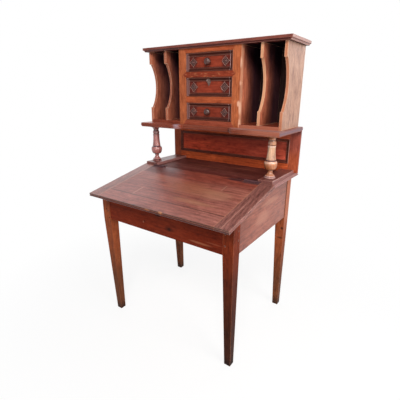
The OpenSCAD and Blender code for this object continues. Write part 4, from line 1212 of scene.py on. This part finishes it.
@dataclass
class WritingTop:
    """The lid with its cleats, the fixed top, the hinges and the lid's lock."""

    joinery: Joinery
    soft_arris: float = 1.0 * MM

    def build(self) -> None:
        """Dress the lid, the fixed top and the ironwork."""
        self.joinery.dress("lid_panel", LID_WOOD, Grain.WIDTH, self.soft_arris)
        self.joinery.dress("lid_left_cleat", LEFT_CLEAT_WOOD, Grain.DEPTH, self.soft_arris)
        self.joinery.dress("lid_right_cleat", CLEAT_WOOD, Grain.DEPTH, self.soft_arris)
        self.joinery.dress("fixed_top", FIXED_TOP_WOOD, Grain.WIDTH, self.soft_arris)
        for node in ("lid_hinge_leaves", "fixed_hinge_leaves", "lid_hinge_screws", "fixed_hinge_screws",
                     "hinge_pins", "lid_strike", "lid_lock_case", "lid_lock_bolt"):
            self.joinery.dress(node, IRON, Grain.WIDTH, SHARP)


@dataclass
class TurnedColumn:
    """A column turned on the lathe: stepped base, foot, bowl, tapered shaft, two collars and flared head."""

    joinery: Joinery
    side: str
    finish: Finish
    base_r: float = 28 * MM
    base_bead: float = 3 * MM
    step_r: float = 24.5 * MM
    step_bead: float = 3 * MM
    step_z: float = 10 * MM
    foot_z: float = 13.5 * MM
    foot_h: float = 16 * MM
    foot_flare: float = 9 * MM
    foot_curve: float = 1.7
    neck_r: float = 11.5 * MM
    bowl_foot_r: float = 16 * MM
    bowl_z: float = 69 * MM
    bowl_h: float = 27 * MM
    bowl_r: float = 32.2 * MM
    bowl_round: float = 0.8
    bowl_rise: float = 1.25
    shoulder_h: float = 17 * MM
    groove_z: float = 87 * MM
    groove_h: float = 2 * MM
    groove_r: float = 23.5 * MM
    shaft_r: float = 18.6 * MM
    shaft_swell: float = 5.4 * MM
    low_ring_drop: float = 59 * MM
    low_ring_h: float = 10 * MM
    high_ring_drop: float = 46 * MM
    high_ring_h: float = 15 * MM
    ring_lip: float = 0.8 * MM
    ring_groove_r: float = 16.4 * MM
    head_drop: float = 26 * MM
    head_r: float = 15.2 * MM
    flare_r: float = 18 * MM
    flare_end: float = 104.0
    flare_steps: int = 20
    cap_r: float = 30 * MM
    cap_h: float = 7 * MM
    arris: float = 1 * MM
    lip: float = 1.5 * MM
    steps: int = 28

    def build(self) -> None:
        """Turn the column in the place of its solid."""
        low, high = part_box(f"{self.side}_column")
        middle = (low + high) / 2

        def place(x: float, y: float, z: float) -> Point:
            """A point of the lathe's own frame in the row frame."""
            return (middle.x + x, middle.y + y, low.z + z)

        piece = self.joinery.add(f"{self.side}_turned_column", *lathe(self.outline(high.z - low.z), place),
                                 "desk", [(self.finish, Grain.HEIGHT)])
        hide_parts(f"{self.side}_column")

    def outline(self, height: float) -> list[tuple[float, float]]:
        """The column's outline from the foot up.

        Args:
            height: the column's height.

        Returns:
            Radius and height of each point.
        """
        shares = [i / self.steps for i in range(self.steps + 1)]
        turns = [math.pi / 2 * t for t in shares]
        low_ring_z = height - self.low_ring_drop
        high_ring_z = height - self.high_ring_drop
        shaft_z = self.groove_z + self.groove_h
        shoulder_r = self.groove_r + self.lip
        collar_r = self.shaft_r + self.ring_lip
        outline = [(0.0, 0.0), (self.base_r - self.base_bead, 0.0)]
        outline += arc((self.base_r - self.base_bead, self.base_bead), self.base_bead, -90, 90)
        outline += arc((self.step_r - self.step_bead, self.step_z), self.step_bead, -80, 90)
        outline += [(self.neck_r + self.foot_flare * (1 - t) ** self.foot_curve,
                     self.foot_z + self.foot_h * t) for t in shares]
        outline += [(self.neck_r + self.lip, self.bowl_z - self.bowl_h - self.arris)]
        outline += [(self.bowl_foot_r + (self.bowl_r - self.bowl_foot_r) * math.sin(a) ** self.bowl_round,
                     self.bowl_z - self.bowl_h * math.cos(a) ** self.bowl_rise) for a in turns]
        outline += [(shoulder_r + (self.bowl_r - shoulder_r) * math.cos(a),
                     self.bowl_z + self.shoulder_h * math.sin(a)) for a in turns[1:]]
        outline += [(self.groove_r, self.groove_z)]
        outline += [(self.shaft_r + self.shaft_swell * (1 - t) ** 2, shaft_z + (low_ring_z - shaft_z) * t)
                    for t in shares]
        low_end_z = low_ring_z + self.low_ring_h
        high_end_z = high_ring_z + self.high_ring_h
        outline += [(collar_r, low_ring_z + self.arris), (collar_r, low_end_z - self.arris),
                    (self.ring_groove_r, low_end_z + self.arris),
                    (self.ring_groove_r, high_ring_z - self.arris),
                    (collar_r, high_ring_z + self.arris), (self.shaft_r, high_end_z - self.arris),
                    (self.head_r + self.arris, high_end_z + self.arris)]
        flare = (self.head_r + self.flare_r, height - self.head_drop)
        outline += arc(flare, self.flare_r, 180, self.flare_end, self.flare_steps)
        outline += [(self.cap_r, height - self.cap_h), (self.cap_r, height - self.arris),
                    (self.cap_r - self.arris, height), (0.0, height)]
        return outline


@dataclass
class MiddleStage:
    """The strips, the columns, the framed back panel and the shelf."""

    joinery: Joinery
    frame_arris: float = 0.8 * MM
    shelf_arris: float = 0.9 * MM

    def build(self) -> None:
        """Dress the stage between the fixed top and the case."""
        self.joinery.dress("column_strips", STRIP_WOOD, Grain.DEPTH, self.frame_arris)
        TurnedColumn(self.joinery, "left", RED_COLUMN_WOOD).build()
        TurnedColumn(self.joinery, "right", GOLDEN_COLUMN_WOOD).build()
        self.joinery.dress("back_panel_stiles", PANEL_FRAME_WOOD, Grain.HEIGHT, self.frame_arris)
        self.joinery.dress("back_panel_rails", LIT_PANEL_RAIL_WOOD, Grain.WIDTH, self.frame_arris)
        self.joinery.dress("back_panel_board", PANEL_WOOD, Grain.WIDTH, SHARP)
        self.joinery.dress("back_panel_moulding", PANEL_MOULDING_WOOD, Grain.WIDTH, SHARP)
        self.joinery.dress("shelf", SHELF_WOOD, Grain.WIDTH, self.shelf_arris)


@dataclass
class PigeonholeCase:
    """The case's sides, dividers, floors, back and cornice."""

    joinery: Joinery

    def build(self) -> None:
        """Dress the case."""
        for side in ("left", "right"):
            self.joinery.dress(f"{side}_side", CASE_SIDE_WOOD, Grain.HEIGHT)
            self.joinery.dress(f"{side}_divider", CASE_WOOD, Grain.HEIGHT)
        self.joinery.dress("pigeonhole_floors", PIGEONHOLE_FLOOR_WOOD, Grain.WIDTH)
        self.joinery.dress("case_back", CASE_BACK_WOOD, Grain.HEIGHT)
        self.joinery.dress("cornice", CORNICE_WOOD, Grain.WIDTH)


@dataclass
class Moulding:
    """The section of a drawer's moulding: a bead outside, a hollow, and a small bead inside."""

    width: float = 18 * MM
    bead_share: float = 0.3
    bead_turn: float = 130.0
    hollow_end_in: float = 3.15 * MM
    hollow_end_out: float = 1.65 * MM
    sag: float = 1.8 * MM
    small_bead: float = 1.5 * MM
    steps: int = 8

    def section(self, rise: float) -> list[tuple[float, float]]:
        """The closed section, by how far in from the outer edge and how far out each point lies.

        Args:
            rise: how far the crest stands out.

        Returns:
            The points.
        """
        bead = rise * self.bead_share
        small = self.small_bead
        outline = [(0.0, 0.0)]
        outline += [(bead - x, y) for x, y in arc((0.0, rise - bead), bead, 0, self.bead_turn, self.steps)]
        start_in, start_out = outline[-1]
        run = self.width - self.hollow_end_in - start_in
        drop = start_out - self.hollow_end_out
        for t in (i / self.steps for i in range(1, self.steps)):
            outline.append((start_in + run * t, start_out - drop * t - self.sag * math.sin(math.pi * t)))
        outline += [(self.width - small + x, y) for x, y in arc((0.0, small), small, 180, 0, self.steps)]
        outline.append((self.width, 0.0))
        return outline


@dataclass
class Lozenge:
    """A square carved on its corner: a raised rim, a border, a field that rises inwards, and a round boss.

    Places on it run from -1 to 1 across each pair of sides, and the limits below are given in them.
    """

    joinery: Joinery
    drawer: str
    side: str
    centre: Vector
    half: float
    steps: int = 46
    rim_outside: float = 0.96
    rim_inside: float = 0.76
    rim_h: float = 5.8 * MM
    rim_fall: float = 24 * MM
    border_inside: float = 0.6
    border_h: float = 1.4 * MM
    field_h: float = 2.4 * MM
    field_rise: float = 6.5 * MM
    groove_outside: float = 0.3
    groove_h: float = 2.0 * MM
    boss_r: float = 0.22
    boss_foot_h: float = 3.6 * MM
    boss_h: float = 2.4 * MM

    def build(self) -> None:
        """Carve the lozenge as a relief."""
        line = self.steps + 1
        places = [2 * i / self.steps - 1 for i in range(line)]
        points = [(self.centre.x + (a - b) / 2 * self.half, self.centre.y - self.relief(a, b),
                   self.centre.z + (a + b) / 2 * self.half) for a in places for b in places]
        corners = [row * line + column for row in range(self.steps) for column in range(self.steps)]
        faces = [[first, first + line, first + line + 1, first + 1] for first in corners]
        self.joinery.add(f"{self.drawer}_{self.side}_lozenge", points, faces, self.drawer,
                         [(CARVED_WOOD, Grain.WIDTH)], smooth=25)

    def relief(self, a: float, b: float) -> float:
        """Height of the carving at a place.

        Args:
            a: place across one pair of sides.
            b: place across the other pair of sides.

        Returns:
            The height in metres.
        """
        edge = max(abs(a), abs(b))
        middle = math.hypot(a, b)
        if edge > self.rim_outside:
            return 0.0
        if edge > self.rim_inside:
            return self.rim_h - abs(edge - (self.rim_outside + self.rim_inside) / 2) * self.rim_fall
        if edge > self.border_inside:
            return self.border_h
        if middle > self.groove_outside:
            return self.field_h + (self.border_inside - edge) * self.field_rise
        if middle > self.boss_r:
            return self.groove_h
        return self.boss_foot_h + self.boss_h * math.sqrt(1 - (middle / self.boss_r) ** 2)


@dataclass
class Knob:
    """A turned knob: a spigot in the drawer's front, a stem with a bead at its foot, and a round head."""

    joinery: Joinery
    drawer: str
    spigot_r: float = 6 * MM
    spigot_l: float = 11 * MM
    stem: tuple[tuple[float, float], ...] = (
        (9.5, 0.0), (9.8, 1.2), (9.2, 2.4), (7.9, 3.4), (7.3, 5.5), (7.4, 8.5), (8.6, 10.8), (11.4, 12.0))
    head_share: float = 0.72
    head_start: int = -40
    head_step: int = 5
    head_curve: float = 0.9
    steps: int = 64

    def build(self) -> None:
        """Turn the knob in the place of its solid."""
        low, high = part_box(f"{self.drawer}_knob")
        face_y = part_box(f"{self.drawer}_front")[0].y
        middle_z = (low.z + high.z) / 2

        def place(x: float, z: float, out: float) -> Point:
            """A point of the lathe's own frame in the row frame."""
            return (x, face_y - out, middle_z + z)

        outline = self.outline((high.x - low.x) / 2, face_y - low.y)
        piece = self.joinery.add(f"{self.drawer}_turned_knob", *lathe(outline, place, self.steps),
                                 self.drawer, [(KNOB_WOOD, Grain.DEPTH)], smooth=35)
        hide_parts(f"{self.drawer}_knob")

    def outline(self, radius: float, length: float) -> list[tuple[float, float]]:
        """The knob's outline from the spigot's end.

        Args:
            radius: the head's radius.
            length: how far the knob stands out.

        Returns:
            Radius and distance from the drawer's front of each point.
        """
        head = radius * self.head_share
        outline = [(0.0, -self.spigot_l), (self.spigot_r, -self.spigot_l), (self.spigot_r, 0.0)]
        outline += [(r * MM, out * MM) for r, out in self.stem]
        for t in (math.radians(a) for a in range(self.head_start, 90, self.head_step)):
            outline.append((radius * math.cos(t) ** self.head_curve, length - head + head * math.sin(t)))
        outline.append((0.0, length))
        return outline


@dataclass
class Drawer:
    """A drawer with mitred mouldings, two carved lozenges and a knob or a keyhole plate."""

    joinery: Joinery
    name: str
    knobbed: bool
    moulding: Moulding = field(default_factory=Moulding)
    lozenge_gap: float = 0.5 * MM
    front_arris: float = 0.8 * MM
    box_arris: float = 0.6 * MM

    def build(self) -> None:
        """Dress the drawer's solids and make its carved and turned pieces."""
        self.joinery.dress(f"{self.name}_front", DRAWER_WOOD, Grain.WIDTH, self.front_arris)
        self.joinery.dress(f"{self.name}_box", BARE_PINE, Grain.DEPTH, self.box_arris)
        low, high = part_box(f"{self.name}_trim")
        self._mouldings(low, high)
        half = (high.z - low.z) / 2 - self.moulding.width - self.lozenge_gap
        reach = high.x - self.moulding.width - half - self.lozenge_gap
        for side, x in (("left", -reach), ("right", reach)):
            centre = Vector((x, high.y, (low.z + high.z) / 2))
            Lozenge(self.joinery, self.name, side, centre, half).build()
        if self.knobbed:
            Knob(self.joinery, self.name).build()

    def _mouldings(self, low: Vector, high: Vector) -> None:
        """Make the mitred mouldings in the place of their solid.

        Args:
            low: the low corner of the solid's box.
            high: its high corner.
        """
        section = self.moulding.section(high.y - low.y)
        points: list[Point] = []
        faces: list[list[int]] = []
        for inset, out in section:
            x0, x1, z0, z1 = low.x + inset, high.x - inset, low.z + inset, high.z - inset
            y = high.y - out
            points += [(x0, y, z0), (x1, y, z0), (x1, y, z1), (x0, y, z1)]
        count = len(section)
        for i in range(count):
            after = (i + 1) % count
            for side in range(4):
                beside = (side + 1) % 4
                faces.append([i * 4 + side, i * 4 + beside, after * 4 + beside, after * 4 + side])
        piece = self.joinery.add(f"{self.name}_mouldings", points, faces, self.name,
                                 [(MOULDING_WOOD, Grain.WIDTH), (MOULDING_WOOD, Grain.HEIGHT)], smooth=40)
        for number, polygon in enumerate(piece.data.polygons):
            polygon.material_index = number % 2
        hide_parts(f"{self.name}_trim")


@dataclass
class DrawerBlock:
    """The face frame, the boards behind it and the drawers in it."""

    joinery: Joinery
    face_arris: float = 0.9 * MM

    def build(self) -> None:
        """Dress the block and build its drawers."""
        self.joinery.dress("drawer_walls", CASE_WOOD, Grain.HEIGHT)
        self.joinery.dress("face_stiles", STILE_OAK, Grain.HEIGHT, self.face_arris)
        for rail, finish in (("bottom", DARK_RAIL_WOOD), ("lower", RAIL_OAK), ("upper", SILKY_OAK),
                             ("top", RAIL_OAK)):
            self.joinery.dress(f"{rail}_face_rail", finish, Grain.WIDTH, self.face_arris)
        self.joinery.dress("drawer_runners", BARE_PINE, Grain.WIDTH, SHARP)
        self.joinery.dress("drawer_guides", BARE_PINE, Grain.DEPTH, SHARP)
        for name, knobbed in (("top_drawer", True), ("middle_drawer", False), ("bottom_drawer", True)):
            Drawer(self.joinery, name, knobbed).build()
        for node in ("keyhole_plate", "drawer_lock_case", "drawer_lock_bolt"):
            self.joinery.dress(node, OLD_BRASS, Grain.WIDTH, SHARP)


@dataclass
class Lamp:
    """A soft rectangular lamp."""

    name: str
    place: Point
    aim: Point
    size: float
    power: float
    colour: Colour

    def build(self) -> None:
        """Hang the lamp."""
        light = bpy.data.lights.new(self.name, "AREA")
        light.size = self.size
        light.energy = self.power
        light.color = self.colour
        lamp = bpy.data.objects.new(self.name, light)
        lamp.location = self.place
        lamp.rotation_euler = (Vector(self.aim) - Vector(self.place)).to_track_quat("-Z", "Y").to_euler()
        bpy.context.scene.collection.objects.link(lamp)


@dataclass
class Studio:
    """The camera, the lamps, the pale floor and the white surroundings."""

    eye: Point = (0.9664, -1.3452, 1.2498)
    yaw: float = 35.0727
    pitch: float = 18.6617
    roll: float = 0.139
    lens: float = 28.82
    film: float = 36.0
    middle: Point = (0.0, 0.0, 0.9)
    ambient: Colour = (0.22, 0.22, 0.235)
    floor_size: float = 30.0
    floor_colour: Colour = (0.86, 0.86, 0.86)
    shadow: float = 0.15
    shadow_near: float = 0.5
    shadow_far: float = 1.6

    def build(self) -> None:
        """Set up everything around the desk."""
        self._camera()
        self._world()
        self._floor()
        for lamp in (
            Lamp("window_lamp", (2.9, -0.7, 2.0), self.middle, 1.6, 75.0, (1.0, 0.96, 0.93)),
            Lamp("front_lamp", (1.4, -2.3, 3.0), self.middle, 0.9, 80.0, (1.0, 0.97, 0.94)),
            Lamp("low_lamp", (1.0, -2.8, 0.95), self.middle, 1.2, 13.0, (1.0, 0.96, 0.94)),
            Lamp("far_window_lamp", (-1.9, 1.4, 2.5), self.middle, 2.4, 18.0, (0.9, 0.94, 1.0)),
            Lamp("back_lamp", (0.6, 2.8, 2.4), self.middle, 2.0, 22.0, (1.0, 1.0, 1.0)),
        ):
            lamp.build()

    def _camera(self) -> None:
        """Stand the camera where the photograph was taken from."""
        yaw, pitch, roll = (math.radians(a) for a in (self.yaw, self.pitch, self.roll))
        ahead = Vector((-math.sin(yaw) * math.cos(pitch), math.cos(yaw) * math.cos(pitch), -math.sin(pitch)))
        level = Vector((math.cos(yaw), math.sin(yaw), 0.0))
        upright = level.cross(ahead)
        right = level * math.cos(roll) + upright * math.sin(roll)
        up = upright * math.cos(roll) - level * math.sin(roll)
        turn = Matrix((right, up, -ahead)).transposed().to_4x4()
        data = bpy.data.cameras.new("camera")
        data.lens = self.lens
        data.sensor_width = self.film
        camera = bpy.data.objects.new("camera", data)
        camera.matrix_world = Matrix.Translation(self.eye) @ turn
        bpy.context.scene.collection.objects.link(camera)
        bpy.context.scene.camera = camera
        bpy.context.scene.view_settings.view_transform = "Standard"

    def _seen(self, graph: Graph) -> Value:
        """Tell the rays that show the surroundings from those that light the desk.

        Args:
            graph: a shader.

        Returns:
            1 for rays that show the surroundings, and 0 for the others.
        """
        path = graph.node("ShaderNodeLightPath", {}, {})
        seen = Value(graph, path.outputs["Is Camera Ray"]) + Value(graph, path.outputs["Is Glossy Ray"])
        return (seen + Value(graph, path.outputs["Is Transmission Ray"])).clipped()

    def _world(self) -> None:
        """White where it is seen, and dimmer where it lights."""
        world = bpy.data.worlds.new("surroundings")
        world.use_nodes = True
        bpy.context.scene.world = world
        graph = Graph(world.node_tree)
        white = graph.node("ShaderNodeBackground", {}, {"Color": (1.0, 1.0, 1.0), "Strength": 1.0})
        soft = graph.node("ShaderNodeBackground", {}, {"Color": self.ambient, "Strength": 1.0})
        both = graph.node("ShaderNodeMixShader", {}, {
            0: self._seen(graph), 1: soft.outputs[0], 2: white.outputs[0]})
        graph.node("ShaderNodeOutputWorld", {}, {"Surface": both.outputs[0]})

    def _floor(self) -> None:
        """Lay the floor, which shows white and keeps a faint shadow."""
        half = self.floor_size / 2
        mesh = bpy.data.meshes.new("floor")
        corners = [(-half, -half, 0), (half, -half, 0), (half, half, 0), (-half, half, 0)]
        mesh.from_pydata(corners, [], [(0, 1, 2, 3)])
        mesh.materials.append(shaded("floor", self._floor_shader))
        floor = bpy.data.objects.new("floor", mesh)
        bpy.context.scene.collection.objects.link(floor)

    def _floor_shader(self, graph: Graph) -> None:
        """White where it is seen, but for a shadow near the desk, and pale where it lights.

        Args:
            graph: the empty shader.
        """
        near = graph.distance(graph.place(), ORIGIN).ramp(self.shadow_far, self.shadow_near)
        lit = graph.node("ShaderNodeBsdfDiffuse", {}, {"Color": self.floor_colour})
        white = graph.node("ShaderNodeEmission", {}, {"Color": (1.0, 1.0, 1.0), "Strength": 1.0})
        both = graph.node("ShaderNodeMixShader", {}, {
            0: self._seen(graph) * (1 - near * self.shadow), 1: lit.outputs[0], 2: white.outputs[0]})
        graph.node("ShaderNodeOutputMaterial", {}, {"Surface": both.outputs[0]})


def main() -> None:
    """Build the desk's looks and the studio."""
    logging.basicConfig(level=logging.INFO, format="%(name)s: %(message)s")
    joinery = Joinery()
    for assembly in (LegFrame(joinery), WritingTop(joinery), MiddleStage(joinery), PigeonholeCase(joinery),
                     DrawerBlock(joinery), Studio()):
        assembly.build()
    log.info("%d pieces are done", len(joinery.made))


if __name__ == "__main__":
    main()
